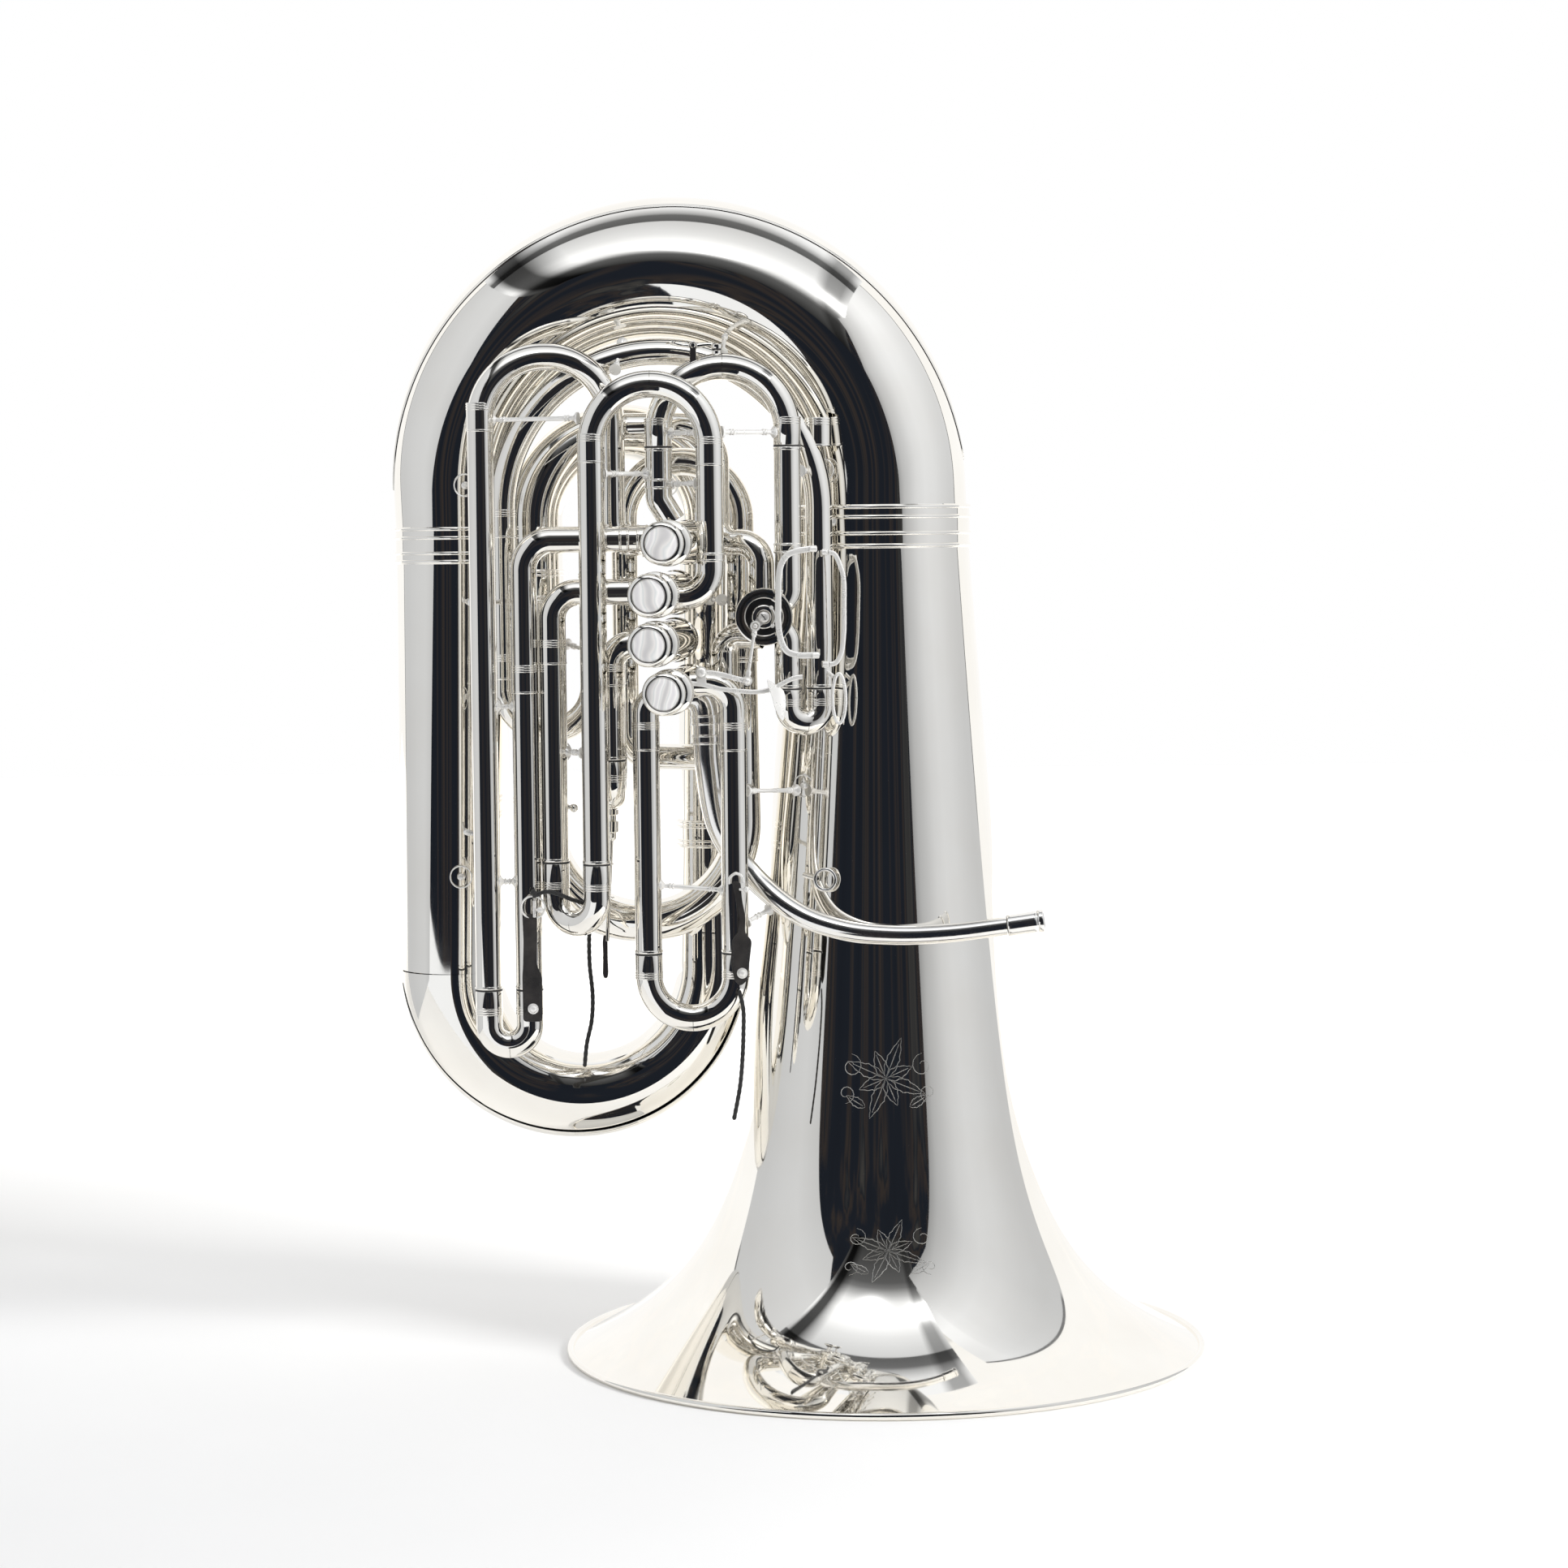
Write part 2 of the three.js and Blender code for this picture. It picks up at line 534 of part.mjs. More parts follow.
function rotaryValve() {
  const length = ROTOR_BACK - ROTOR_FRONT;
  const place = (geometry) => geometry.rotateX(Math.PI).translate(ROTOR[0], ROTOR_BACK, ROTOR[1]);
  add("rotor_casing", place(turned([
    [0, 0], [ROTOR_CASING, 0], [ROTOR_CASING, length], [ROTOR_BORE, length],
    [ROTOR_BORE, ROTOR_WALL], [0, ROTOR_WALL],
  ], 16)), silver);
  const capTop = length + ROTOR_CAP;
  const bearing = ROTOR_HUB + 0.8;
  add("rotor_cap", place(turned([
    [bearing, length + GAP], [ROTOR_CASING + 2, length + GAP], [ROTOR_CASING + 2, capTop - 1.5],
    [ROTOR_CASING - 1, capTop], [bearing, capTop], [bearing, length + GAP],
  ], 16)), silver);
  const spindleTop = capTop + 5;
  const plug = turned([
    [0, ROTOR_WALL + GAP], [ROTOR_RADIUS, ROTOR_WALL + GAP], [ROTOR_RADIUS, length - 1], [ROTOR_HUB, length - 1],
    [ROTOR_HUB, spindleTop], [0, spindleTop],
  ], 16);
  const arm = new THREE.BoxGeometry(ARM_REACH + 4, 2.5, 5).translate(-(ARM_REACH + 4) / 2 + 2, 0, 0);
  const ball = new THREE.CylinderGeometry(2.5, 2.5, 3.2, 10).translate(-ARM_REACH, 0, 0);
  const lever = join(arm, ball).rotateY(Math.PI / 4).translate(0, capTop + 3, 0);
  add("rotor", place(join(plug, lever)), steel);
}

function leverLinkage() {
  // The thumb lever: an arm from its pivot past the ball joint, a leaf that hangs from it, and a curved tip.
  const [px, pz] = LEVER_PIVOT;
  const [bx, bz] = LEVER_BALL;
  const half = 3.5; // half the arm's width
  const outline = new THREE.Shape();
  outline.moveTo(px - 4, pz - 4);
  outline.lineTo(bx, bz - half);
  outline.lineTo(-88, 528);
  outline.quadraticCurveTo(-86, 512, -77, 508);
  outline.quadraticCurveTo(-72, 518, -73, 534);
  outline.lineTo(-61, 539);
  outline.lineTo(-62, 545);
  outline.lineTo(-82, 543);
  outline.lineTo(bx, bz + half);
  outline.lineTo(px - 4, pz + 4);
  outline.closePath();
  const plate = new THREE.ExtrudeGeometry(outline, { depth: LEVER_THICK, bevelEnabled: false, curveSegments: 4 });
  add("thumb_lever", plate.rotateX(Math.PI / 2).translate(0, LEVER_Y + LEVER_THICK / 2, 0), silver);
  const rodY = LEVER_Y + LINK_OFFSET;
  const top = [ROTOR[0] - ARM_REACH * Math.SQRT1_2, ROTOR[1] - ARM_REACH * Math.SQRT1_2];
  add("link_rod", tube(straight([bx, rodY, bz], [top[0], rodY, top[1]]), LINK_RADIUS, 0, 8), silver);
}

// ---- Leadpipe and fittings -----------------------------------------------------------------------

function leadpipe() {
  const pipe = smoothPath([
    [VALVES[1][0] + 4, -86, 528], [-139, -87, 520], [-136, -88, 474], [-127, -87, 424], [-106, -88, 392],
    [-69, -104, 361], [-32, -115, 348], [5, -118, 344], [48, -118, 345], [92, -118, 350],
  ], PIPE.steps);
  // The receiver for the mouthpiece is the stepped socket at the end.
  const receiver = straight([92.5, -118, 350.1], [121, -118, 354], [0.15, 0.17, 0.85, 0.87]);
  const along = (from, to) => pipe.map((_, i) => THREE.MathUtils.lerp(from, to, i / PIPE.steps));
  const { ring, waist } = RECEIVER;
  const radii = [...along(PIPE.start, PIPE.end), ring, ring, waist, waist, ring, ring];
  const bores = [...along(PIPE.startBore, PIPE.endBore), ...RECEIVER.bores];
  const stations = [...pipe, ...receiver];
  const byStation = (values) => (_, point) => values[stations.findIndex((s) => s.point === point)];
  add("leadpipe", cut(tube(stations, byStation(radii), byStation(bores), 8), valveCutter(1)), silver);
}

function handLoops() {
  const loop = (side, bulge, y) => {
    const inner = [bulge - LOOP_BAND, LOOP_HEIGHT - LOOP_BAND];
    const arc = new THREE.Shape();
    arc.absellipse(0, 0, bulge, LOOP_HEIGHT, -Math.PI / 2, Math.PI / 2, false);
    arc.absellipse(0, 0, ...inner, Math.PI / 2, -Math.PI / 2, true);
    arc.closePath();
    const body = new THREE.ExtrudeGeometry(arc, { depth: LOOP_WIDTH, bevelEnabled: false, curveSegments: 8 });
    body.rotateX(Math.PI / 2);
    if (side < 0) body.rotateZ(Math.PI);
    return body.translate(side < 0 ? -60 : -46, y, 596);
  };
  add("left_hand_loop", loop(-1, 24, -122), silver);
  add("right_hand_loop", loop(1, 12, -92), silver);
}

function waterKey() {
  const { pivot, pad, tip, height, width } = WATER_KEY;
  const y = MAIN_SLIDE.y[0];
  const bar = new THREE.BoxGeometry(pad - tip, 5, 3).translate((pad + tip) / 2, y, height);
  const cork = new THREE.CylinderGeometry(4.5, 4.5, 3, 8).rotateX(Math.PI / 2).translate(pad, y, height - 2);
  const boss = new THREE.CylinderGeometry(2.5, 2.5, width, 8).translate(pivot, y, height);
  add("water_key", join(bar, cork, boss), silver);
}

function straps() {
  const strip = (name, points, y) => {
    const shape = new THREE.Shape(points.map(([x, z]) => new THREE.Vector2(x, z)));
    const body = new THREE.ExtrudeGeometry(shape, { depth: STRAP_THICK, bevelEnabled: false });
    add(name, body.rotateX(Math.PI / 2).translate(0, y - TUBE - STRAP_CLEAR + STRAP_THICK, 0), leather);
  };
  strip("fourth_slide_strap", [[-279, 370], [-279, 320], [-280, 278], [-264, 278], [-264, 320], [-267, 370]],
    MIDDLE_Y);
  strip("first_slide_strap", [[-119, 392], [-119, 332], [-117, 306], [-106, 306], [-103, 340], [-109, 392]],
    SLIDE_1.y[0]);
  const cordTube = (name, points, steps) =>
    add(name, tube(smoothPath(points, steps), CORD_RADIUS, 0, CORD_SIDES), cord);
  // From the strap's ring it passes in front of one slide leg, between it and the next, and hangs behind both.
  cordTube("fourth_slide_strap_cord", [
    [-270, -116, 376], [-260, -118, 380], [-249, -121, 378], [-241, -117, 374], [-236.7, -111, 372],
    [-231, -102, 368], [-228, -92, 356], [-229, -86, 340], [-229, -84, 320], [-227, -84, 296],
    [-228, -84, 276], [-232, -84, 258], [-234, -84, 240],
  ], 22);
  cordTube("first_slide_strap_cord", [
    [-113, -124, 303.5], [-110, -125.5, 290], [-110, -126, 270], [-111, -126, 250], [-113, -126, 230],
    [-118, -126, 204],
  ], 12);
}

// ---- Assembly -----------------------------------------------------------------------------------

bell();
bellFerrule();
topBow();
branches();
[4, 3, 2, 1].forEach(valve);
fourthSlide();
thirdSlide();
secondSlide();
firstSlide();
mainSlide();
fifthSlide();
rotaryValve();
leverLinkage();
leadpipe();
handLoops();
waterKey();
straps();

// The origin is the bottom centre of the object without its hanging cords.
tuba.updateMatrixWorld(true);
const box = new THREE.Box3();
tuba.traverse((node) => {
  if (node.isMesh && !node.name.endsWith("_cord")) box.expandByObject(node, true);
});
const centre = box.getCenter(new THREE.Vector3());
tuba.position.set(-centre.x, -centre.y, -box.min.z);

export default tuba;
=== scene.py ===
"""Looks of the contrabass tuba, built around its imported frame.

Places are in millimetres in the working layout: the bell's axis is X = Y = 0, its rim stands on Z = 0,
X runs to the mouthpiece side and -Y faces the valve buttons. place() turns them into the row's metres.
"""
import math

import bmesh
import bpy
import numpy as np
from mathutils import Matrix, Vector


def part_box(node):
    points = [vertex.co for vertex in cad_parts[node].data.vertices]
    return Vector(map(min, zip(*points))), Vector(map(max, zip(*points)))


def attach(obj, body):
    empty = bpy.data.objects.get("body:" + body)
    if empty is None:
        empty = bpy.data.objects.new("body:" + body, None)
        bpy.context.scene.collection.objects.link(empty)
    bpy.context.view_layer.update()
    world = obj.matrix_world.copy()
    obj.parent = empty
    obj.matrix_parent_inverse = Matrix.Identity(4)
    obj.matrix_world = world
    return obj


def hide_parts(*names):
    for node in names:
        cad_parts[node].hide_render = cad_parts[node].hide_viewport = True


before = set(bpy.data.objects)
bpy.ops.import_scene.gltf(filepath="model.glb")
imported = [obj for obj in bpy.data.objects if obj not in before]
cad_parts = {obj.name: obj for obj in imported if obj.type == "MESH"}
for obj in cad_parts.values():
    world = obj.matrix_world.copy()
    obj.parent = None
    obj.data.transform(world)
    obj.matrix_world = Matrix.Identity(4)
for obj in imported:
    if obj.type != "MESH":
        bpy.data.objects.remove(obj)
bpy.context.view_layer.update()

MM = 0.001
_low, _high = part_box("bell")
BELL_AXIS = np.array([(_low.x + _high.x) / 2, (_low.y + _high.y) / 2, 0.0])

# ---- Driving dimensions, as in the CAD part ------------------------------------------------------

BELL_TOP = 655
BOW_RADIUS = 168
BOW_HEIGHT = 689
BOW_THICK_END = 70.3
BOW_THIN_END = 45
BOW_LEFT_END = 645
LEFT_X = -2 * BOW_RADIUS
BOTTOM_RADIUS = 102.5
BOTTOM_HEIGHT = 307.5
BOTTOM_LEFT_X = -342
BOTTOM_RIGHT_X = BOTTOM_LEFT_X + 2 * BOTTOM_RADIUS
RIM_RADIUS = 252.6
RIM_BEAD = 2.9
WALL = 0.8  # of the bell, the bows and the large branches
LARGE_Y = 10
INNER_X, INNER_Y = -270, -16  # the leg that the large and the middle branch share
MIDDLE_X, SMALL_Y = -110, -36

TUBE = 10.25
BORE = 9.4
INNER_LEG = 9.1
CROOK_BORE = 8.3
FRONT_Y, MIDDLE_Y, BACK_Y = -122, -100, -78

VALVES = {4: (-156, 645), 3: (-166, 606), 2: (-166.6, 569), 1: (-156, 532.5)}
VALVE_Y = -85
VALVE_TILT = math.radians(7)
CASING_RADIUS = 16.6
STROKE = 18
CAP_HEIGHT = 9

ROTOR = (-91, 588)
ROTOR_FRONT, ROTOR_BACK = -108, -64
ROTOR_ARM = 9.3  # from the rotor's axis to its ball, which rests down to the left
ROTOR_BALL = (ROTOR[0] - ROTOR_ARM * math.sqrt(0.5), ROTOR[1] - ROTOR_ARM * math.sqrt(0.5))
LEVER_PIVOT = (-139, 547)
LEVER_BALL = (-104, 540)
LEVER_Y = -128
LINK_Y = LEVER_Y + 4.5  # the link rod's plane, just behind the lever

SLIDE_4 = {"x": (-306, -274.5), "y": (MIDDLE_Y, MIDDLE_Y), "end": 303, "bottom": 260, "hidden": 120}
SLIDE_3 = {"x": (-220.5, -253), "y": (FRONT_Y, MIDDLE_Y), "end": 401, "bottom": 355, "hidden": 110}
SLIDE_2 = {"x": (-209, -209), "y": (MIDDLE_Y, -72), "end": 479, "bottom": 450, "hidden": 60}
SLIDE_1 = {"x": (-182, -115.5), "y": (-112, -112), "end": 331, "bottom": 281, "hidden": 120}
SLIDE_5 = {"x": (-73, -48), "y": (-88, -80), "end": 532, "bottom": 506, "hidden": 32}
MAIN_SLIDE = {"x": (-170.5, -72), "y": (-92, -92), "end": 718, "bottom": 779, "hidden": -38}

WATER_KEY = {"pivot": -143, "pad": -125, "tip": -163, "height": 795}

CORD_RADIUS = 1.7
CORD_ROUTES = {
    "fourth_slide_strap_cord": [
        (-270, -116, 376), (-260, -118, 380), (-249, -121, 378), (-241, -117, 374), (-236.7, -111, 372),
        (-231, -102, 368), (-228, -92, 356), (-229, -86, 340), (-229, -84, 320), (-227, -84, 296),
        (-228, -84, 276), (-232, -84, 258), (-234, -84, 240)],
    "first_slide_strap_cord": [
        (-113, -124, 303.5), (-110, -125.5, 290), (-110, -126, 270), (-111, -126, 250), (-113, -126, 230),
        (-118, -126, 204)],
}


def bell_radius(z):
    """Outside radius of the bell at a height above its rim."""
    return 80 - 0.0412 * z + 51.34 * math.exp(-z / 600) + 126.87 * math.exp(-z / 56.17)


# ---- Camera ---------------------------------------------------------------------------------------

def place(points):
    """Layout millimetres to metres in the row's frame."""
    return np.asarray(points, float) * MM + BELL_AXIS


def make_camera():
    data = bpy.data.cameras.new("camera")
    data.sensor_width = 36
    data.lens = 85.16
    data.clip_end = 50
    camera = bpy.data.objects.new("camera", data)
    bpy.context.scene.collection.objects.link(camera)
    tilt, roll = math.radians(86), math.radians(-0.6)
    turn = Matrix.Rotation(tilt, 4, "X") @ Matrix.Rotation(roll, 4, "Z")
    camera.matrix_world = Matrix.Translation(place((-77, -2940, 658))) @ turn
    bpy.context.scene.camera = camera


# ---- Paths ----------------------------------------------------------------------------------------

def unit(v):
    return v / np.linalg.norm(v)


def rotated(v, axis, angle):
    along = axis * (axis @ v)
    return v * math.cos(angle) + np.cross(axis, v) * math.sin(angle) + along * (1 - math.cos(angle))


def bent_path(corners, step=4.0, lead=0.7):
    """Stations along straight runs with round bends: each corner is (x, y, z, bend radius).
    Two more stations, a short lead before and after each bend, keep the straight runs' shading straight."""
    points = [np.array(c[:3], float) for c in corners]
    stations = [(points[0], unit(points[1] - points[0]))]

    def put(point, tangent):
        if np.linalg.norm(point - stations[-1][0]) > 0.2:
            stations.append((point, tangent))

    arrive = stations[0][1]
    for i in range(1, len(points) - 1):
        leave = unit(points[i + 1] - points[i])
        turn = math.acos(max(-1.0, min(1.0, float(arrive @ leave))))
        radius = corners[i][3]
        axis = unit(np.cross(arrive, leave))
        start = points[i] - arrive * radius * math.tan(turn / 2)
        centre = start + np.cross(axis, arrive) * radius
        if (start - stations[-1][0]) @ arrive > 2 * lead:
            put(start - arrive * lead, arrive)
        steps = max(2, math.ceil(math.degrees(turn) / step))
        for k in range(steps + 1):
            angle = turn * k / steps
            put(centre + rotated(start - centre, axis, angle), rotated(arrive, axis, angle))
        put(stations[-1][0] + leave * lead, leave)
        arrive = leave
    put(points[-1], arrive)
    return stations


def smooth_path(points, spacing):
    """Stations on a centripetal Catmull-Rom curve through the points, evenly spaced."""
    p = [np.array(q, float) for q in points]
    p = [2 * p[0] - p[1]] + p + [2 * p[-1] - p[-2]]
    dense = [p[1]]
    for a, b, c, d in zip(p, p[1:], p[2:], p[3:]):
        t = np.cumsum([0.0] + [max(np.linalg.norm(v - u) ** 0.5, 1e-6) for u, v in ((a, b), (b, c), (c, d))])
        for s in np.linspace(t[1], t[2], 25)[1:]:
            a1 = ((t[1] - s) * a + (s - t[0]) * b) / (t[1] - t[0])
            a2 = ((t[2] - s) * b + (s - t[1]) * c) / (t[2] - t[1])
            a3 = ((t[3] - s) * c + (s - t[2]) * d) / (t[3] - t[2])
            b1 = ((t[2] - s) * a1 + (s - t[0]) * a2) / (t[2] - t[0])
            b2 = ((t[3] - s) * a2 + (s - t[1]) * a3) / (t[3] - t[1])
            dense.append(((t[2] - s) * b1 + (s - t[1]) * b2) / (t[2] - t[1]))
    dense = np.array(dense)
    sums = np.concatenate([[0], np.cumsum(np.linalg.norm(np.diff(dense, axis=0), axis=1))])
    wanted = np.linspace(0, sums[-1], max(4, round(sums[-1] / spacing)) + 1)
    even = np.stack([np.interp(wanted, sums, dense[:, k]) for k in range(3)], -1)
    tangents = np.gradient(even, axis=0)
    return [(q, unit(t)) for q, t in zip(even, tangents)]


def line(a, b, marks=()):
    a, b = np.array(a, float), np.array(b, float)
    return [(a + (b - a) * t, unit(b - a)) for t in (0, *marks, 1)]


def fractions(path):
    sums = np.cumsum([0] + [np.linalg.norm(b[0] - a[0]) for a, b in zip(path, path[1:])])
    return sums / sums[-1]


def taper(*values):
    """Radius that runs evenly through the values, spaced evenly along the path."""
    return lambda t: float(np.interp(t, np.linspace(0, 1, len(values)), values))


# ---- Shapes: each is (points, faces) ---------------------------------------------------------------

def grid(rings, loop):
    """Quads over rows of closed rings; the rows close on themselves too where loop is true."""
    rows, columns = rings.shape[:2]
    r = np.arange(rows if loop else rows - 1)[:, None]
    c = np.arange(columns)[None, :]
    below, right = (r + 1) % rows, (c + 1) % columns
    here, under = r * columns, below * columns
    quads = np.stack([here + c, here + right, under + right, under + c], -1)
    faces = quads.reshape(-1, 4).tolist()
    if not loop:
        faces.append(list(range(columns))[::-1])
        faces.append(list(range((rows - 1) * columns, rows * columns)))
    return rings.reshape(-1, 3), faces


def frames_along(path, facing):
    normal = np.array(facing, float)
    for _, tangent in path:
        normal = unit(normal - tangent * (normal @ tangent))
        yield normal, np.cross(normal, tangent)


def ring_rows(path, radii, sides, facing):
    angles = np.linspace(0, 2 * math.pi, sides, endpoint=False)
    rows = []
    for (point, _), (n, b), radius in zip(path, frames_along(path, facing), radii):
        rows.append(point + radius * (np.sin(angles)[:, None] * n + np.cos(angles)[:, None] * b))
    return np.array(rows)


def swept(path, radius, bore=None, sides=32, facing=(0, 1, 0)):
    """A tube with a bore, or a rod without one, along a path.
    Radii are numbers, lists with one value per station, or functions of the fraction of the path."""
    along = fractions(path)

    def radii(value):
        if callable(value):
            return [value(t) for t in along]
        return value if isinstance(value, list) else [value] * len(path)

    outside = ring_rows(path, radii(radius), sides, facing)
    if bore is None:
        return grid(outside, False)
    inside = ring_rows(path, radii(bore), sides, facing)[::-1]
    return grid(np.concatenate([outside, inside]), True)


def revolved(outline, base=(0, 0, 0), direction=(0, 0, 1), sides=48):
    """A body turned about the line from base along direction, from (radius, height) pairs.
    It closes on itself where the last pair is the first, and has flat ends otherwise."""
    loop = tuple(outline[0]) == tuple(outline[-1])
    pairs = outline[:-1] if loop else outline
    axis = unit(np.array(direction, float))
    side = np.array([1.0, 0, 0]) if abs(axis[0]) < 0.8 else np.array([0, 1.0, 0])
    n = unit(side - axis * (side @ axis))
    b = np.cross(axis, n)
    angles = np.linspace(0, 2 * math.pi, sides, endpoint=False)
    spokes = np.cos(angles)[:, None] * n + np.sin(angles)[:, None] * b
    rings = np.array([np.array(base, float) + axis * h + spokes * r for r, h in pairs])
    return grid(rings, loop)


def turned(outline, base=(0, 0, 0), direction=(0, 0, 1), sides=48):
    """A turned body whose outline closes on itself."""
    return revolved(outline + outline[:1], base, direction, sides)


def dome(radius, base, height, steps=9, last=1.5):
    """Outline of a round head, from its edge nearly to its middle."""
    return [(radius * math.cos(a), base + height * math.sin(a)) for a in np.linspace(0, last, steps)]


def ball(centre, radius, sides=20):
    turns = np.linspace(-1.45, 1.45, 9)
    return revolved([(radius * math.cos(a), radius * math.sin(a)) for a in turns], centre, (0, 1, 0), sides)


def rod(a, b, radius, sides=16):
    a, b = np.array(a, float), np.array(b, float)
    length = np.linalg.norm(b - a)
    soft = min(0.4, radius * 0.3, length * 0.2)
    outline = [(radius - soft, 0), (radius, soft), (radius, length - soft), (radius - soft, length)]
    return revolved(outline, a, b - a, sides)


def torus(centre, direction, radius, wire, sides=64, around=12):
    turns = np.linspace(0, 2 * math.pi, around, endpoint=False)
    outline = [(radius + wire * math.cos(a), wire * math.sin(a)) for a in turns]
    return turned(outline, centre, direction, sides)


def beaded(radius, thick, length, beads, height=0.7, half=0.9):
    """Outline of a sleeve of that inside radius, with a round bead at each given place along it."""
    points = [(radius, 0), (radius + thick * 0.7, 0), (radius + thick, thick * 0.4)]
    for place_along in beads:
        for k in range(9):
            a = math.pi * k / 8
            points.append((radius + thick + height * math.sin(a), place_along - half * math.cos(a)))
    points += [(radius + thick, length - thick * 0.4), (radius + thick * 0.7, length), (radius, length)]
    return points + points[:1]


def plate(outline, front, back, soften=0.4):
    """A flat piece in the XZ plane between two Y values, from (x, z) pairs, with softened edges."""
    outline = np.array(outline, float)
    centre = outline.mean(0)
    away = outline - centre
    inner = centre + away * (1 - soften / np.maximum(np.linalg.norm(away, axis=1), 1e-6))[:, None]
    rows = []
    for flat, y in ((inner, front), (outline, front + soften), (outline, back - soften), (inner, back)):
        rows.append(np.stack([flat[:, 0], np.full(len(flat), y), flat[:, 1]], -1))
    return grid(np.array(rows), False)


def rounded(points, radius=2.0, steps=5):
    """A closed outline with its corners rounded."""
    p = [np.array(q, float) for q in points]
    out = []
    for before, corner, after in zip(p[-1:] + p[:-1], p, p[1:] + p[:1]):
        reach = min(radius, np.linalg.norm(before - corner) / 2.2, np.linalg.norm(after - corner) / 2.2)
        a = corner + unit(before - corner) * reach
        b = corner + unit(after - corner) * reach
        for t in np.linspace(0, 1, steps):
            out.append((1 - t) ** 2 * a + 2 * t * (1 - t) * corner + t * t * b)
    return out


# ---- Pieces ---------------------------------------------------------------------------------------

def piece(name, shapes, material, body="body", replaces=(), sharp=40):
    """One mesh object made of closed shapes, riding on a body."""
    points, faces, base = [], [], 0
    for shape_points, shape_faces in shapes:
        points.append(np.asarray(shape_points, float))
        faces += [[i + base for i in face] for face in shape_faces]
        base += len(shape_points)
    mesh = bpy.data.meshes.new(name)
    mesh.from_pydata(place(np.concatenate(points)).tolist(), [], faces)
    work = bmesh.new()
    work.from_mesh(mesh)
    bmesh.ops.recalc_face_normals(work, faces=work.faces)
    work.to_mesh(mesh)
    work.free()
    mesh.shade_smooth()
    mesh.set_sharp_from_angle(angle=math.radians(sharp))
    mesh.materials.append(material)
    obj = bpy.data.objects.new(name, mesh)
    bpy.context.scene.collection.objects.link(obj)
    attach(obj, body)
    if replaces:
        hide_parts(*replaces)
    return obj


# ---- Materials --------------------------------------------------------------------------------------

def new_material(name):
    material = bpy.data.materials.new(name)
    material.use_nodes = True
    tree = material.node_tree
    return material, tree, tree.nodes["Principled BSDF"]


def connect(tree, node, inputs):
    """Sets each named input of a node to a value, or links it to another node's output."""
    for key, value in inputs.items():
        if isinstance(value, bpy.types.NodeSocket):
            tree.links.new(value, node.inputs[key])
        else:
            node.inputs[key].default_value = value
    return node


def add_node(tree, kind, inputs=()):
    return connect(tree, tree.nodes.new("ShaderNode" + kind), dict(inputs))


def coordinates(tree, kind="Object"):
    return add_node(tree, "TexCoord").outputs[kind]


def noise(tree, scale, detail=3.0, rough=0.5, stretch=None, source="Object"):
    where = coordinates(tree, source)
    if stretch:
        where = add_node(tree, "Mapping", {"Vector": where, "Scale": stretch}).outputs["Vector"]
    settings = {"Scale": scale, "Detail": detail, "Roughness": rough, "Vector": where}
    return add_node(tree, "TexNoise", settings).outputs["Fac"]


def ramp(tree, value, stops):
    node = add_node(tree, "ValToRGB", {"Fac": value})
    elements = node.color_ramp.elements
    for element, (position, colour) in zip(elements, (stops[0], stops[-1])):
        element.position = position
        element.color = (*colour, 1)
    for position, colour in stops[1:-1]:
        elements.new(position).color = (*colour, 1)
    return node.outputs["Color"]


def ranged(tree, value, low, high, first=0.3, last=0.7):
    """Values from first to last, spread from low to high."""
    ends = {"From Min": first, "From Max": last, "To Min": low, "To Max": high, "Value": value}
    return add_node(tree, "MapRange", ends).outputs["Result"]


def bump(tree, shader, height, strength, distance):
    node = add_node(tree, "Bump", {"Strength": strength, "Distance": distance, "Height": height})
    connect(tree, shader, {"Normal": node.outputs["Normal"]})


def metal(name, light, dark, rough, wear=0.02, ripple=0.06, metallic=1.0):
    """Polished plate: faint clouds in its colour and gloss, and a trace of buffing in its surface."""
    material, tree, shader = new_material(name)
    connect(tree, shader, {
        "Metallic": metallic,
        "Base Color": ramp(tree, noise(tree, 14, 4), [(0.35, dark), (0.65, light)]),
        "Roughness": ranged(tree, noise(tree, 55, 5, 0.6), rough, rough + wear)})
    bump(tree, shader, noise(tree, 30, 2, stretch=(1, 1, 0.35)), ripple, 0.0004)
    return material


def pearl_material():
    """Mother of pearl: folded bands of milk white, grey and a little pink and green."""
    material, tree, shader = new_material("pearl")
    bands = add_node(tree, "TexWave", {
        "Scale": 22, "Distortion": 7, "Detail": 1.5, "Detail Scale": 1.2, "Vector": coordinates(tree)})
    stops = [(0.0, (0.56, 0.55, 0.55)), (0.3, (0.74, 0.72, 0.70)), (0.5, (0.66, 0.675, 0.67)),
             (0.75, (0.86, 0.845, 0.825)), (1.0, (0.70, 0.685, 0.69))]
    connect(tree, shader, {"Base Color": ramp(tree, bands.outputs["Fac"], stops), "Roughness": 0.16,
                           "Coat Weight": 0.6, "Coat Roughness": 0.05})
    return material


def leather_material():
    material, tree, shader = new_material("black_leather")
    colours = [(0.3, (0.010, 0.009, 0.009)), (0.7, (0.032, 0.028, 0.026))]
    connect(tree, shader, {"Base Color": ramp(tree, noise(tree, 90, 4), colours),
                           "Roughness": ranged(tree, noise(tree, 160, 4), 0.42, 0.62)})
    cells = add_node(tree, "TexVoronoi", {"Scale": 1100, "Vector": coordinates(tree)})
    bump(tree, shader, cells.outputs["Distance"], 0.5, 0.0003)
    return material


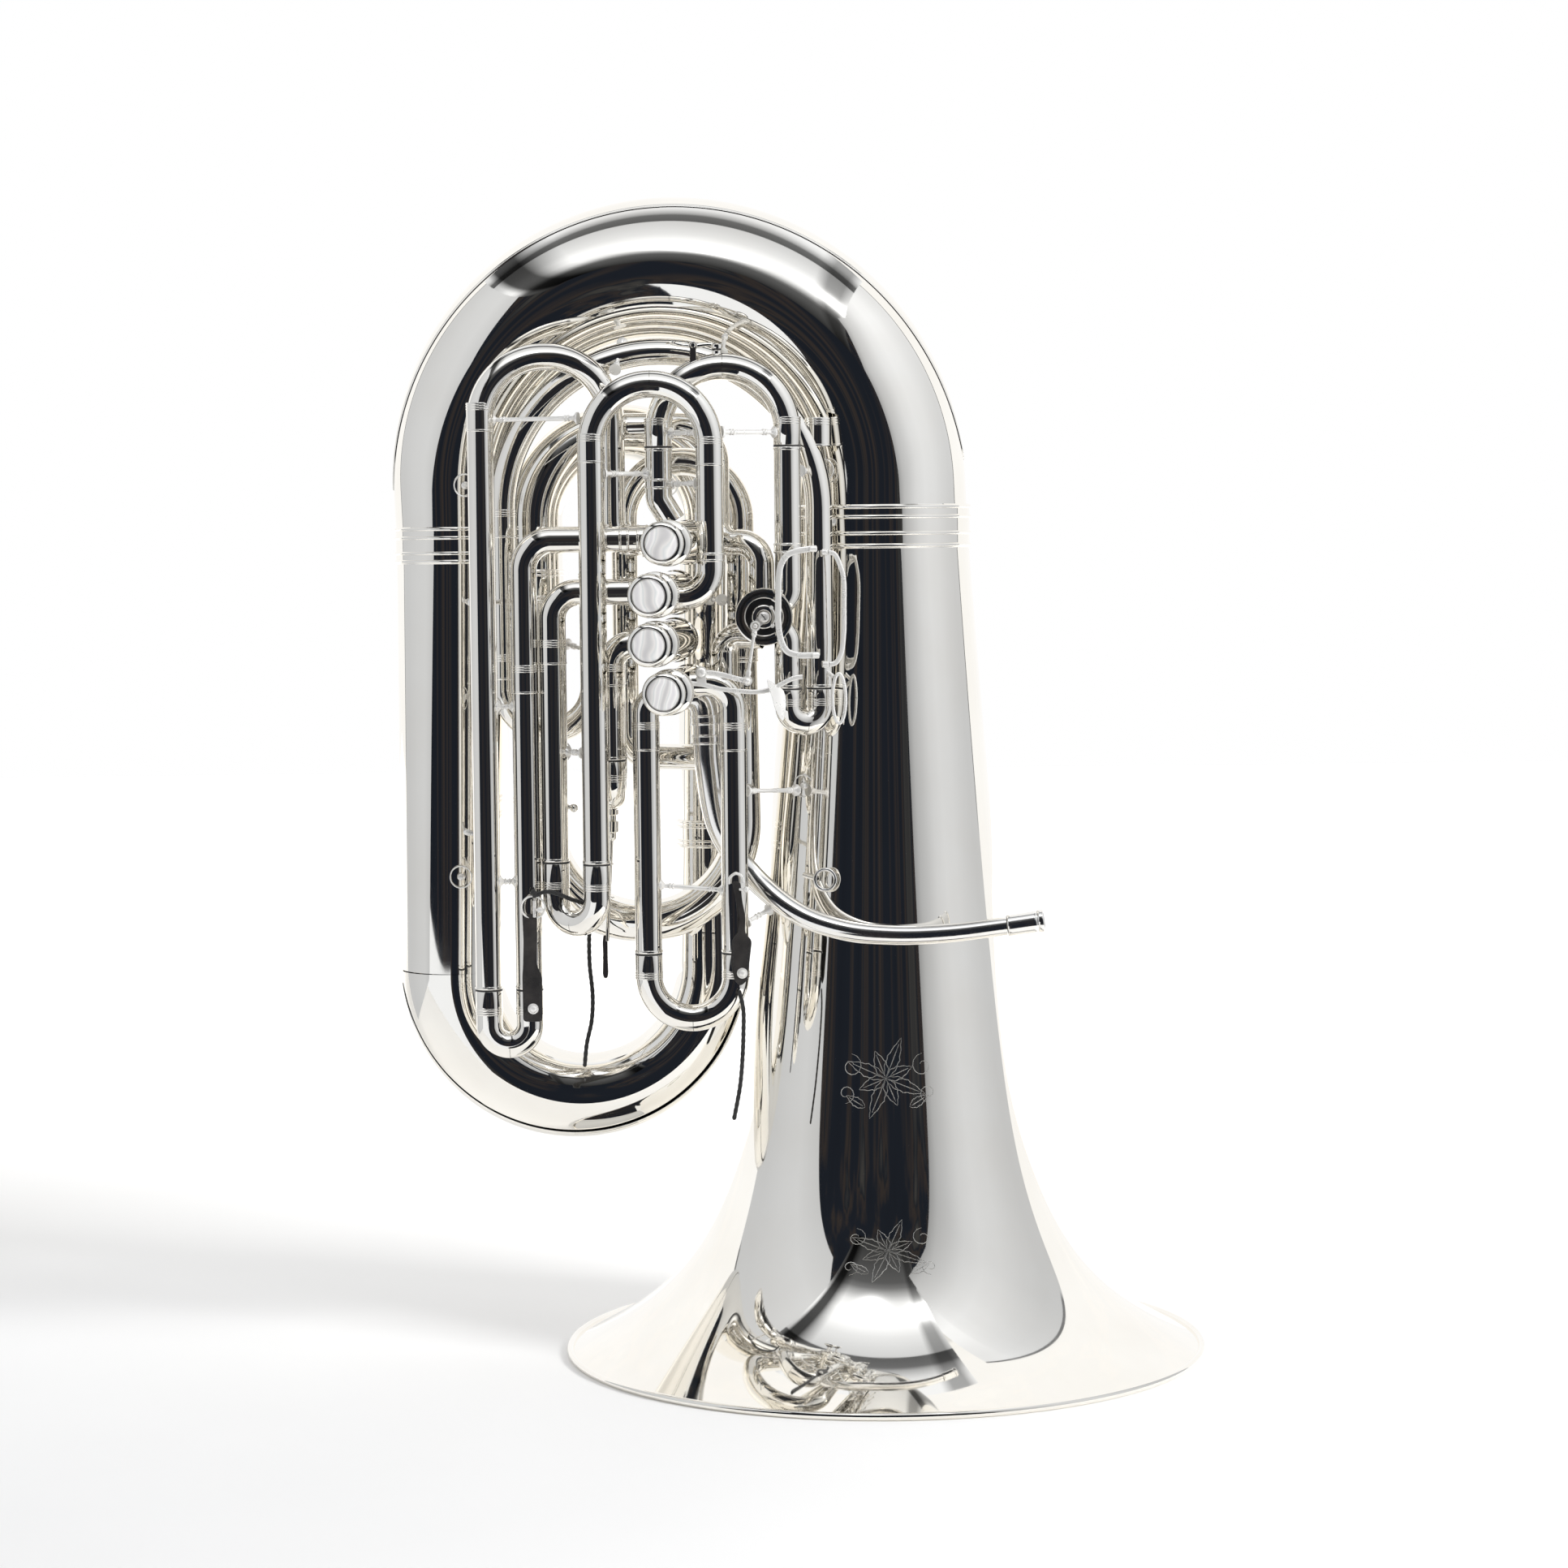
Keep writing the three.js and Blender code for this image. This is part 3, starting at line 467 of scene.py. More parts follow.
def fibre_material(name, light, dark, scale):
    material, tree, shader = new_material(name)
    connect(tree, shader, {
        "Base Color": ramp(tree, noise(tree, scale, 5, 0.7), [(0.3, dark), (0.7, light)]),
        "Roughness": ranged(tree, noise(tree, scale / 3), 0.7, 0.9),
        "Sheen Weight": 0.15})
    bump(tree, shader, noise(tree, scale * 2, 2), 0.5, 0.0003)
    return material


SILVER = metal("silver_plate", (0.968, 0.942, 0.885), (0.940, 0.908, 0.845), 0.025, ripple=0.02)
SATIN = metal("soft_silver", (0.955, 0.935, 0.900), (0.915, 0.895, 0.855), 0.11, wear=0.04, ripple=0.04)
FROSTED = metal("satin_fittings", (0.93, 0.915, 0.885), (0.86, 0.845, 0.81), 0.24, wear=0.08, metallic=0.5)
NICKEL = metal("nickel_plate", (0.86, 0.84, 0.81), (0.76, 0.74, 0.71), 0.22, wear=0.08, metallic=0.6)
BRUSHED = metal("frosted_silver", (0.70, 0.69, 0.66), (0.58, 0.57, 0.55), 0.36, wear=0.12, ripple=0.2)
# Painted shade: a dark metal laid into the rotor cap's recess and groove and into the screw's slot, standing
# in for the shade in them.
RECESS_SHADE = metal("painted_recess_shade", (0.16, 0.15, 0.14), (0.10, 0.10, 0.10), 0.30, wear=0.1)
PEARL = pearl_material()
LEATHER = leather_material()
CORD = fibre_material("black_cord", (0.035, 0.034, 0.034), (0.006, 0.006, 0.006), 900)
FELT = fibre_material("black_felt", (0.05, 0.047, 0.045), (0.012, 0.012, 0.012), 1500)


# ---- Cords ------------------------------------------------------------------------------------------

def make_cord(name):
    """A thin cord laid up from two strands, so its radius rises and falls along a helix."""
    path = smooth_path(CORD_ROUTES[name], 0.8)
    sides, lay = 16, 5.0
    rows = ring_rows(path, [1.0] * len(path), sides, (0.3, 1, 0.2))
    angles = np.linspace(0, 2 * math.pi, sides, endpoint=False)
    centres = np.array([p for p, _ in path])
    run = fractions(path) * len(path) * 0.8
    swell = 0.93 + 0.07 * np.cos(2 * (angles[None, :] - run[:, None] * 2 * math.pi / lay / 2))
    ends = np.minimum(1, 0.55 + np.minimum(run, run[-1] - run) / 2.2)
    rings = centres[:, None] + (rows - centres[:, None]) * (CORD_RADIUS * swell * ends[:, None])[:, :, None]
    obj = piece(name + "_laid", [grid(rings, False)], CORD, replaces=[name], sharp=60)


# ---- Bell, bows and branches --------------------------------------------------------------------------

def ferrule(base, direction, radius, thick, length, beads, height=0.7, half=0.9, sides=48):
    return revolved(beaded(radius, thick, length, beads, height, half), base, direction, sides)


def leg_ferrule(x, y, plain, ringed):
    """The sleeve over a joint on an upright leg: three close rings at one end and one at the other."""
    length = abs(ringed - plain)
    way = (0, 0, math.copysign(1, ringed - plain))
    beads = [0.9, length - 4.9, length - 3.0, length - 1.1]
    return ferrule((x, y, plain), way, TUBE - 0.15, 0.38, length, beads, 0.28, 0.75, 40)


def bell():
    heights = 3.3 + (BELL_TOP - 3.3) * (np.linspace(0, 1, 150) ** 1.7)
    outside = [(bell_radius(z), z) for z in heights]
    inside = []
    for z in heights:
        slope = bell_radius(z + 0.5) - bell_radius(z - 0.5)
        tilt = math.atan(-slope)
        inside.append((bell_radius(z) - WALL * math.cos(tilt), z - WALL * math.sin(tilt)))
    outline = outside + inside[::-1]
    shell = turned(outline, sides=224)
    rim = torus((0, 0, RIM_BEAD), (0, 0, 1), RIM_RADIUS, RIM_BEAD, 224, 16)
    piece("bell_body", [shell, rim], SILVER, replaces=["bell"])


def bell_point(azimuth, height, lift=0.0):
    """A point on the front of the bell: azimuth in degrees from the valve side towards +X."""
    a = math.radians(azimuth)
    r = bell_radius(height) + lift
    return (r * math.sin(a), -r * math.cos(a), height)


def ribbon(path2d, width=0.55, lift=0.12):
    """A hairline of engraving: a shallow strip over the bell along (azimuth, height) points."""
    pts = [np.array(bell_point(a, h, lift)) for a, h in path2d]
    stations = []
    for i, p in enumerate(pts):
        t = pts[min(i + 1, len(pts) - 1)] - pts[max(i - 1, 0)]
        stations.append((p, unit(t)))
    ends = [width / 2 * max(0.25, math.sin(math.pi * (i + 0.5) / len(pts)) ** 0.5) for i in range(len(pts))]
    return swept(stations, ends, sides=6, facing=(0, -1, 0.2))


def curl(centre, size, start, sweep, grow, steps=14):
    """A scroll whose radius changes evenly as it turns, as (azimuth, height) points."""
    out = []
    for k in range(steps + 1):
        t = k / steps
        a = math.radians(start + sweep * t)
        r = size * (1 + (grow - 1) * t)
        out.append((centre[0] + r * math.cos(a), centre[1] + r * 1.9 * math.sin(a)))
    return out


def leaf(base, angle, length, width, steps=12):
    """Two edges and a vein of a leaf that points at an angle, as three lists of (azimuth, height) points."""
    a = math.radians(angle)
    along = np.array([math.cos(a), math.sin(a) * 1.9])
    across = np.array([-math.sin(a), math.cos(a) * 1.9])
    sides = []
    for side in (-1, 1):
        edge = []
        for k in range(steps + 1):
            t = k / steps
            swell = math.sin(math.pi * t ** 0.75) * (1 + 0.12 * math.sin(9 * math.pi * t))
            edge.append(tuple(np.array(base) + along * length * t + across * side * width * swell))
        sides.append(edge)
    vein = [tuple(np.array(base) + along * length * t) for t in np.linspace(0.1, 0.85, 6)]
    return sides + [vein]


def engraving():
    """A plain leaf spray and scrolls, cut shallow into the front of the bell in two fields."""
    strokes = []
    for height, scale, turn in ((232, 1.0, 0), (104, 0.72, 180)):
        middle = (-0.5, height)
        for k in range(8):
            angle = turn + 90 + (k - 3.5) * 45
            strokes += leaf(middle, angle, 14 * scale * (1.25 if k % 2 else 0.85), 2.6 * scale)
        for side in (-1, 1):
            strokes.append(curl((side * 15 * scale, height + 9), 5 * scale, 90, side * 420, 0.25))
            strokes.append(curl((side * 17 * scale, height - 12), 4 * scale, -90, side * -400, 0.25))
            strokes += leaf((side * 9 * scale, height - 22 * scale), 90 + side * -60, 9 * scale, 1.8 * scale)
    piece("bell_engraving", [ribbon(s) for s in strokes], BRUSHED)


BOW_PATH = bent_path([
    (0, 0, BELL_TOP + 0.3), (0, 0, BOW_HEIGHT + BOW_RADIUS, BOW_RADIUS),
    (LEFT_X, 0, BOW_HEIGHT + BOW_RADIUS, BOW_RADIUS), (LEFT_X, 0, BOW_LEFT_END)], 1.5)


def top_bow():
    bore = taper(BOW_THICK_END - WALL, BOW_THIN_END - WALL)
    shell = swept(BOW_PATH, taper(BOW_THICK_END, BOW_THIN_END), bore, 112)
    piece("top_bow_shell", [shell], SILVER, replaces=["top_bow"])


def guard_lift(edge_distance, reach):
    """Height of the guard above the bow at a distance from its edge: a plate with two fine raised lines."""
    lines = 0.0
    for at in (0.75, 3.1):
        lines += 0.3 * max(0.0, 1 - ((edge_distance - at) / 0.75) ** 2) ** 0.5
    return 0.15 + min(0.3, reach / 12) + lines * min(1.0, reach / 5)


def bow_guard(name, path, radius_at, centre, first, last, depth, replaces=()):
    """A crescent skin on the outside of a bow, depth high in its middle.
    first and last are its ends' angles about the bow's centre."""
    rows = []
    frames = list(frames_along(path, (0, 1, 0)))
    along = fractions(path)
    steps = np.array([0, 0.15, 0.4, 0.75, 1.1, 1.35, 1.5, 2.3, 2.35, 2.6, 3.1, 3.6, 3.85, 3.9])
    for (point, _), (n, _), t in zip(path, frames, along):
        angle = math.degrees(math.atan2(point[2] - centre[1], point[0] - centre[0])) % 360
        if not first < angle < last:
            continue
        share = (angle - first) / (last - first)
        radius = radius_at(t)
        reach = max(0.15, depth * math.sin(math.pi * share) ** 0.7)
        half = math.acos(1 - reach / radius)
        arc = half * radius
        distances = np.concatenate([steps, np.linspace(4.2, max(4.3, arc), 12)])
        distances = distances * min(1.0, arc / 4.3)
        angles = [d / radius - half for d in distances]
        angles = angles + [-a for a in angles[::-1][1:]]
        outward = unit(np.array([point[0] - centre[0], 0, point[2] - centre[1]]))
        outer, inner = [], []
        for a in angles:
            spoke = outward * math.cos(a) + n * math.sin(a)
            edge = (half - abs(a)) * radius
            outer.append(point + spoke * (radius + guard_lift(edge / min(1.0, arc / 4.3), arc)))
            inner.append(point + spoke * (radius + 0.05))
        rows.append(np.array(outer + inner[::-1]))
    return piece(name, [grid(np.array(rows), False)], SILVER, replaces=replaces)


def big_joints():
    """The wide sleeves on the main tubing, each with its raised rings."""
    up = (0, 0, 1)
    bell_sleeve = ferrule((0, 0, 639), up, 70.2, 1.7, 34, (2.2, 11.6, 24.4, 32), 1.3, 1.5, 160)
    piece("bell_ferrule_sleeve", [bell_sleeve], SILVER, replaces=["bell_ferrule"])
    left = ferrule((LEFT_X, 0, 630), up, 44.4, 1.5, 29, (2, 8.4, 20.4, 27.2), 1.0, 1.3, 112)
    right = ferrule((BOTTOM_RIGHT_X, LARGE_Y, 403), up, 24.2, 1.2, 22, (1.8, 5.4, 16.6, 20.2), 0.8, 1.1, 80)
    low = ferrule((INNER_X, INNER_Y, 428), up, 19.9, 1.0, 18, (1.6, 4.6, 13.4, 16.4), 0.6, 0.9, 64)
    high = ferrule((INNER_X, INNER_Y, 599), up, 20.4, 1.0, 26, (1.6, 4.6, 21.4, 24.4), 0.6, 0.9, 64)
    middle = ferrule((MIDDLE_X, SMALL_Y, 551), up, 12.9, 0.9, 18, (1.4, 3.8, 14.2, 16.6), 0.5, 0.8, 48)
    piece("branch_ferrules", [left, right, low, high, middle], SILVER)


def branches():
    """The left branch, the bottom bow, and the three inner branches that taper to the valves."""
    left = line((LEFT_X, 0, BOW_LEFT_END - 0.4), (BOTTOM_LEFT_X, 0, BOTTOM_HEIGHT + 0.4), (0.33, 0.66))
    shape = swept(left, taper(45, 41), taper(44.2, 40.2), 96)
    piece("left_branch_tube", [shape], SILVER, replaces=["left_branch"])
    lowest = BOTTOM_HEIGHT - BOTTOM_RADIUS
    bottom = bent_path([
        (BOTTOM_LEFT_X, 0, BOTTOM_HEIGHT), (BOTTOM_LEFT_X, 0, lowest, BOTTOM_RADIUS),
        (BOTTOM_RIGHT_X, LARGE_Y, lowest, BOTTOM_RADIUS), (BOTTOM_RIGHT_X, LARGE_Y, 410)], 2)
    outside = taper(41, 34, 28.5, 24.5)
    shape = swept(bottom, outside, taper(40.2, 33.2, 27.7, 23.7), 88)
    piece("bottom_bow_shell", [shape], SILVER, replaces=["bottom_bow"])
    centre = (BOTTOM_LEFT_X + BOTTOM_RADIUS, BOTTOM_HEIGHT)
    bow_guard("bottom_bow_guard_skin", bottom, outside, centre, 182, 358, 7.5)
    large = bent_path([
        (BOTTOM_RIGHT_X, LARGE_Y, 410.4), (-134, LARGE_Y, 732, 69), (INNER_X, INNER_Y, 732, 69),
        (INNER_X, INNER_Y, 430)], 3)
    shape = swept(large, taper(24.5, 23, 21, 20), taper(23.7, 22.2, 20.2, 19.2), 64)
    piece("large_inner_tube", [shape], SILVER, replaces=["large_inner_branch"])
    middle = bent_path([
        (INNER_X, INNER_Y, 429.7), (INNER_X, INNER_Y, 347, 80), (MIDDLE_X, SMALL_Y, 347, 80),
        (MIDDLE_X, SMALL_Y, 560)], 3)
    shape = swept(middle, taper(19.5, 16.5, 14.5, 13), taper(18.8, 15.8, 13.8, 12.3), 56)
    piece("middle_inner_tube", [shape], SILVER, replaces=["middle_inner_branch"])
    small = bent_path([
        (MIDDLE_X, SMALL_Y, 560.3), (MIDDLE_X, SMALL_Y, 708, 45), (-200, SMALL_Y, 708, 45),
        (-200, SMALL_Y, 478, 20), (-122, -64, 478, 20), (-122, -70, 573, 14), (ROTOR[0] - 2, -80, 573)], 5)
    shape = swept(small, taper(12.5, 11, TUBE, TUBE, TUBE), taper(11.7, 10.2, 9.6, 9.6, 9.6), 40)
    piece("small_inner_tube", [shape], SILVER, replaces=["small_inner_branch"])


# ---- Piston valves --------------------------------------------------------------------------------------

def valve_axis(number):
    """Centre of a valve and the way that its button end points."""
    x, z = VALVES[number]
    return np.array([x, VALVE_Y, z], float), np.array([-math.sin(VALVE_TILT), -math.cos(VALVE_TILT), 0])


def knurled(outline, base, direction, teeth, depth, first, last):
    """A turned body whose rings from first to last carry fine ridges."""
    sides = teeth * 4
    points, faces = revolved(outline, base, direction, sides)
    points = points.reshape(-1, sides, 3).copy()
    axis = unit(np.array(direction, float))
    ridge = 1 - depth * (0.5 - 0.5 * np.cos(np.arange(sides) * math.pi / 2))
    for row in range(first, last + 1):
        spot = np.array(base, float) + axis * ((points[row, 0] - base) @ axis)
        radius = np.linalg.norm(points[row, 0] - spot)
        scale = 1 - (1 - ridge) / max(radius, 1e-6)
        points[row] = spot + (points[row] - spot) * scale[:, None]
    return points.reshape(-1, 3), faces


def valve(number):
    """One piston valve. Heights along its axis are from the middle of its casing, which is 100 long."""
    centre, out = valve_axis(number)
    body = f"valve_{number}"
    side = CASING_RADIUS
    wall = [(side - 1.2, -50), (side, -50), (side + 0.9, -49.2), (side + 0.9, -46), (side, -45.4),
            (side, 43.6)]
    for k in range(7):
        a = math.pi * k / 6
        wall.append((side + 0.7 * math.sin(a), 44.6 - 0.8 * math.cos(a)))
    wall += [(side, 50), (side - 1.2, 50)]
    piece(f"{body}_casing_tube", [turned(wall, centre, out, 80)], SILVER,
          replaces=[f"{body}_casing"])
    cap = [(3.8, 50.3), (17.1, 50.3), (17.6, 50.8), (17.6, 51.4), (17.6, 56.0), (17.6, 56.6), (17.2, 57.3),
           (14.4, 58.6), (13.6, 59.2), (9, 59.5), (8.2, 59.2), (3.8, 59.2)]
    piece(f"{body}_top_cap_turned", [knurled(cap + cap[:1], centre, out, 72, 0.45, 3, 4)], SILVER,
          replaces=[f"{body}_top_cap"])
    foot = [(1.5, -50.3), (17.1, -50.3), (17.6, -50.8), (17.6, -51.2), (17.6, -53.4), (17.2, -54.4),
            (12, -56.2), (7, -56.6), (4, -56.0), (1.5, -56.0)]
    piece(f"{body}_bottom_cap_turned", [knurled(foot + foot[:1], centre, out, 72, 0.45, 3, 4)], SILVER,
          replaces=[f"{body}_bottom_cap"])
    stem_top = 50 + CAP_HEIGHT + 0.3 + STROKE + 2
    cup = [(14.9 - 1.2, -26), (14.9, -26), (14.9, 27.2), (14.2, 28), (6, 28), (5, 30), (3, 31),
           (3, stem_top), (0.4, stem_top), (0.4, 26), (13.7, 26)]
    piece(f"{body}_piston_turned", [turned(cup, centre, out, 56)], NICKEL, body,
          [f"{body}_piston"])
    felt = [(3.3, stem_top - 1.7), (8.6, stem_top - 1.7), (9, stem_top - 1.3), (9, stem_top - 0.4),
            (8.6, stem_top), (3.3, stem_top)]
    piece(f"{body}_button_felt", [turned(felt, centre, out, 40)], FELT, body)
    dish = [(0.4, 0.1), (5, 0.1), (7.5, 0.8), (12, 2.2), (15.4, 3.0), (16.3, 3.6), (16.6, 4.5),
            (16.45, 5.4), (15.9, 6.5), (15.0, 7.5), (14.0, 8.2), (13.2, 8.5), (12.7, 8.4), (12.5, 7.9),
            (12.5, 6.9), (0.4, 6.6)]
    dish = [(r, stem_top + h) for r, h in dish]
    piece(f"{body}_button_dish", [turned(dish, centre, out, 88)], SILVER, body)
    pearl = [(12.45, stem_top + 6.7)] + dome(12.4, stem_top + 7.5, 1.3, 12, 1.54)
    piece(f"{body}_pearl", [revolved(pearl, centre, out, 72)], PEARL, body, [f"{body}_button"])


# ---- Slides ---------------------------------------------------------------------------------------------

def slide_normal(slide):
    across = unit(np.array([slide["x"][1] - slide["x"][0], slide["y"][1] - slide["y"][0], 0], float))
    return np.cross(across, (0, 0, 1))


def slide_crook(name, slide, body, sleeve, extra=()):
    """Inner legs, the ringed sleeves where they leave the outer legs, the bow, and two felt rings."""
    (x1, x2), (y1, y2) = slide["x"], slide["y"]
    way = math.copysign(1, slide["hidden"])
    deep = slide["end"] + slide["hidden"]
    mouth = slide["end"] - way * 0.8
    spread = math.hypot(x2 - x1, y2 - y1)
    bow = bent_path([
        (x1, y1, mouth), (x1, y1, slide["bottom"], spread / 2), (x2, y2, slide["bottom"], spread / 2),
        (x2, y2, mouth)], 4)
    path = line((x1, y1, deep), (x1, y1, mouth)) + bow + line((x2, y2, mouth), (x2, y2, deep))
    outer = [INNER_LEG] * 2 + [TUBE] * len(bow) + [INNER_LEG] * 2
    facing = slide_normal(slide)
    outside = ring_rows(path, outer, 40, facing)
    inside = ring_rows(path, [CROOK_BORE] * len(path), 40, facing)[::-1]
    shapes = [grid(np.concatenate([outside, inside]), True)]
    for x, y in ((x1, y1), (x2, y2)):
        outline = beaded(TUBE - 0.15, 0.42, sleeve, (sleeve - 4.2, sleeve - 2.2, sleeve - 0.4), 0.28, 0.75)
        shapes.append(revolved(outline, (x, y, mouth), (0, 0, -way), 40))
    piece(name + "_tubes", shapes + list(extra), SILVER, body, replaces=[name])
    rings = []
    for x, y in ((x1, y1), (x2, y2)):
        outline = [(INNER_LEG + 0.05, 0), (TUBE + 0.25, 0), (TUBE + 0.25, 1.3), (INNER_LEG + 0.05, 1.3)]
        rings.append(turned(outline, (x, y, mouth + way * 0.1 - (0 if way > 0 else 1.3)),
                              (0, 0, 1), 40))
    piece(name + "_felts", rings, FELT, body)


def leg_lip(slide):
    """The thickened end of each outer leg."""
    way = math.copysign(1, slide["hidden"])
    outline = beaded(TUBE - 0.15, 0.5, 2.4, (1.2,), 0.25, 0.9)
    return [revolved(outline, (x, y, slide["end"] + way * 0.7), (0, 0, way), 40)
            for x, y in zip(slide["x"], slide["y"])]


def bent_tube(corners, slide=None, step=4):
    facing = slide_normal(slide) if slide else (0, 1, 0)
    return swept(bent_path(corners, step), TUBE, BORE, 40, facing)


def collar(point, direction, length=9, radius=TUBE):
    """A short ringed ferrule around a tube, centred on a point."""
    direction = unit(np.array(direction, float))
    base = np.array(point, float) - direction * length / 2
    return ferrule(base, direction, radius - 0.15, 0.7, length, (1.2, length - 1.2), 0.45, 0.8, 40)


def fourth_slide():
    (x1, x2), (y, _) = SLIDE_4["x"], SLIDE_4["y"]
    arch = bent_tube([
        (x1, y, 303), (x1, y, 788, 49), (-207, BACK_Y, 788, 49), (-207, BACK_Y, 645, 18),
        (VALVES[4][0] - 14, BACK_Y, 645)], SLIDE_4)
    piece("fourth_arch_tube", [arch, leg_ferrule(x1, y, 731, 753), leg_lip(SLIDE_4)[0],
                               collar((-179, BACK_Y, 645), (1, 0, 0), 10)],
          SILVER, replaces=["fourth_slide_arch"])
    back = bent_tube([(x2, y, 303), (x2, y, 648, 22), (VALVES[4][0] - 14, MIDDLE_Y, 648)], SLIDE_4)
    piece("fourth_return_tube", [back, leg_ferrule(x2, y, 531, 553), leg_lip(SLIDE_4)[1],
                                 collar((-197, MIDDLE_Y, 648), (1, 0, 0), 8),
                                 collar((-183, MIDDLE_Y, 648), (1, 0, 0))],
          SILVER, replaces=["fourth_slide_return"])
    slide_crook("fourth_slide_crook", SLIDE_4, "slide_4", 18)


def third_slide():
    (x1, x2), (y1, y2) = SLIDE_3["x"], SLIDE_3["y"]
    right = -131
    arch = bent_tube([
        (x1, y1, 401), (x1, y1, 765, 44.7), (right, y1, 765, 44.7), (right, y1, 604, 22),
        (VALVES[3][0] + 6, y1, 604)], SLIDE_3)
    piece("third_arch_tube", [arch, leg_ferrule(x1, y1, 706, 728), leg_ferrule(right, y1, 703, 725),
                              leg_lip(SLIDE_3)[0], collar((right, y1, 634), (0, 0, 1), 7)],
          SILVER, replaces=["third_slide_arch"])
    back = bent_tube([(x2, y2, 401), (x2, y2, 608, 20), (VALVES[3][0] - 14, y2, 608)], SLIDE_3)
    piece("third_return_tube", [back, leg_ferrule(x2, y2, 553, 572), leg_lip(SLIDE_3)[1],
                                collar((-190, y2, 608), (1, 0, 0), 8)],
          SILVER, replaces=["third_slide_return"])
    slide_crook("third_slide_crook", SLIDE_3, "slide_3", 19)


def second_slide():
    x = SLIDE_2["x"][0]
    for side, y, lip in zip(("front", "back"), SLIDE_2["y"], leg_lip(SLIDE_2)):
        tube = bent_tube([(x, y, 479), (x, y, 568, 18), (VALVES[2][0] - 14, y, 568)], SLIDE_2)
        piece(f"second_{side}_leg", [tube, leg_ferrule(x, y, 536, 553), lip], SILVER,
              replaces=[f"second_slide_{side}_tube"])
    rod_y = sum(SLIDE_2["y"]) / 2
    low = (x - 6, rod_y, 338)
    barrel = [(1.6, 0), (4.2, 0), (4.2, 3.5), (2.6, 4.5), (2.6, 8), (4.4, 9), (4.4, 17), (3.0, 18),
              (3.0, 22), (1.6, 24), (0.5, 24)]
    pull = [rod((x, rod_y, 446), low, 1.5)]
    pull.append(revolved([(0.5, 0)] + barrel, (x, rod_y, 440), (-0.04, 0, -1), 32))
    blade = [(-1.3, 5), (1.3, 5), (2.0, 0), (1.9, -12), (2.2, -26), (1.2, -29), (-1.2, -29), (-2.2, -26),
             (-1.9, -12), (-2.0, 0)]
    blade = [(low[0] - 1.6 + a, low[2] + b) for a, b in blade]
    pull.append(plate(rounded(blade, 2.0, 4), rod_y - 1.1, rod_y + 1.1, 0.5))
    for z in (398, 372):
        pull.append(torus((x - 2.6, rod_y, z), (0, 0, 1), 1.9, 0.7, 24, 8))
    slide_crook("second_slide_crook", SLIDE_2, "slide_2", 15, extra=pull)


def first_slide():
    (x1, x2), (y, _) = SLIDE_1["x"], SLIDE_1["y"]
    left = bent_tube([(x1, y, 331), (x1, y, 527, 11), (VALVES[1][0] - 10, y, 527)], SLIDE_1)
    piece("first_left_leg", [left, leg_ferrule(x1, y, 487, 509), leg_lip(SLIDE_1)[0]], SILVER,
          replaces=["first_slide_left_tube"])
    right = bent_tube([(x2, y, 331), (x2, y, 538, 20), (VALVES[1][0] + 8, y, 538)], SLIDE_1)
    piece("first_right_leg", [right, leg_ferrule(x2, y, 486, 508), leg_lip(SLIDE_1)[1]], SILVER,
          replaces=["first_slide_right_tube"])
    slide_crook("first_slide_crook", SLIDE_1, "slide_1", 18)


def main_slide():
    (x1, x2), (y, _) = MAIN_SLIDE["x"], MAIN_SLIDE["y"]
    inlet = bent_tube([(x1, y, 718), (x1, y, 678, 12), (VALVES[4][0] - 4, y, 661)], MAIN_SLIDE)
    piece("main_inlet_tube", [inlet, leg_lip(MAIN_SLIDE)[0], collar((x1, y, 690), (0, 0, 1), 8)], SILVER,
          replaces=["main_slide_inlet"])
    outlet = bent_tube([(x2, y, 718), (x2, y, 599, 12), (ROTOR[0] + 12, y, 598)], MAIN_SLIDE)
    piece("main_outlet_tube", [outlet, leg_lip(MAIN_SLIDE)[1], collar((x2, y, 640), (0, 0, 1), 8)], SILVER,
          replaces=["main_slide_outlet"])
    height = WATER_KEY["height"]
    nipple = [(4.9, 0), (4.6, 4.5), (3.6, 5.5), (3.6, 7.9), (1.4, 7.9), (1.4, 0)]
    extra = [turned(nipple, (WATER_KEY["pad"], y, height - 12.1), (0, 0, 1), 28)]
    for side in (-1, 1):
        ear_y = y + side * 5.3
        ear = [(-2.6, -19), (2.6, -19), (2.3, 0), (1.6, 1.8), (0, 2.5), (-1.6, 1.8), (-2.3, 0)]
        outline = [(WATER_KEY["pivot"] + a, height + b) for a, b in ear]
        extra.append(plate(rounded(outline, 0.8, 3), ear_y - 1, ear_y + 1, 0.3))
        extra.append(revolved([(0.3, 0), (1.9, 0), (2.0, 0.5), (1.5, 1.1), (0.3, 1.2)],
                              (WATER_KEY["pivot"], ear_y + side * 0.9, height), (0, side, 0), 20))
    slide_crook("main_slide_crook", MAIN_SLIDE, "main_slide", 21, extra)


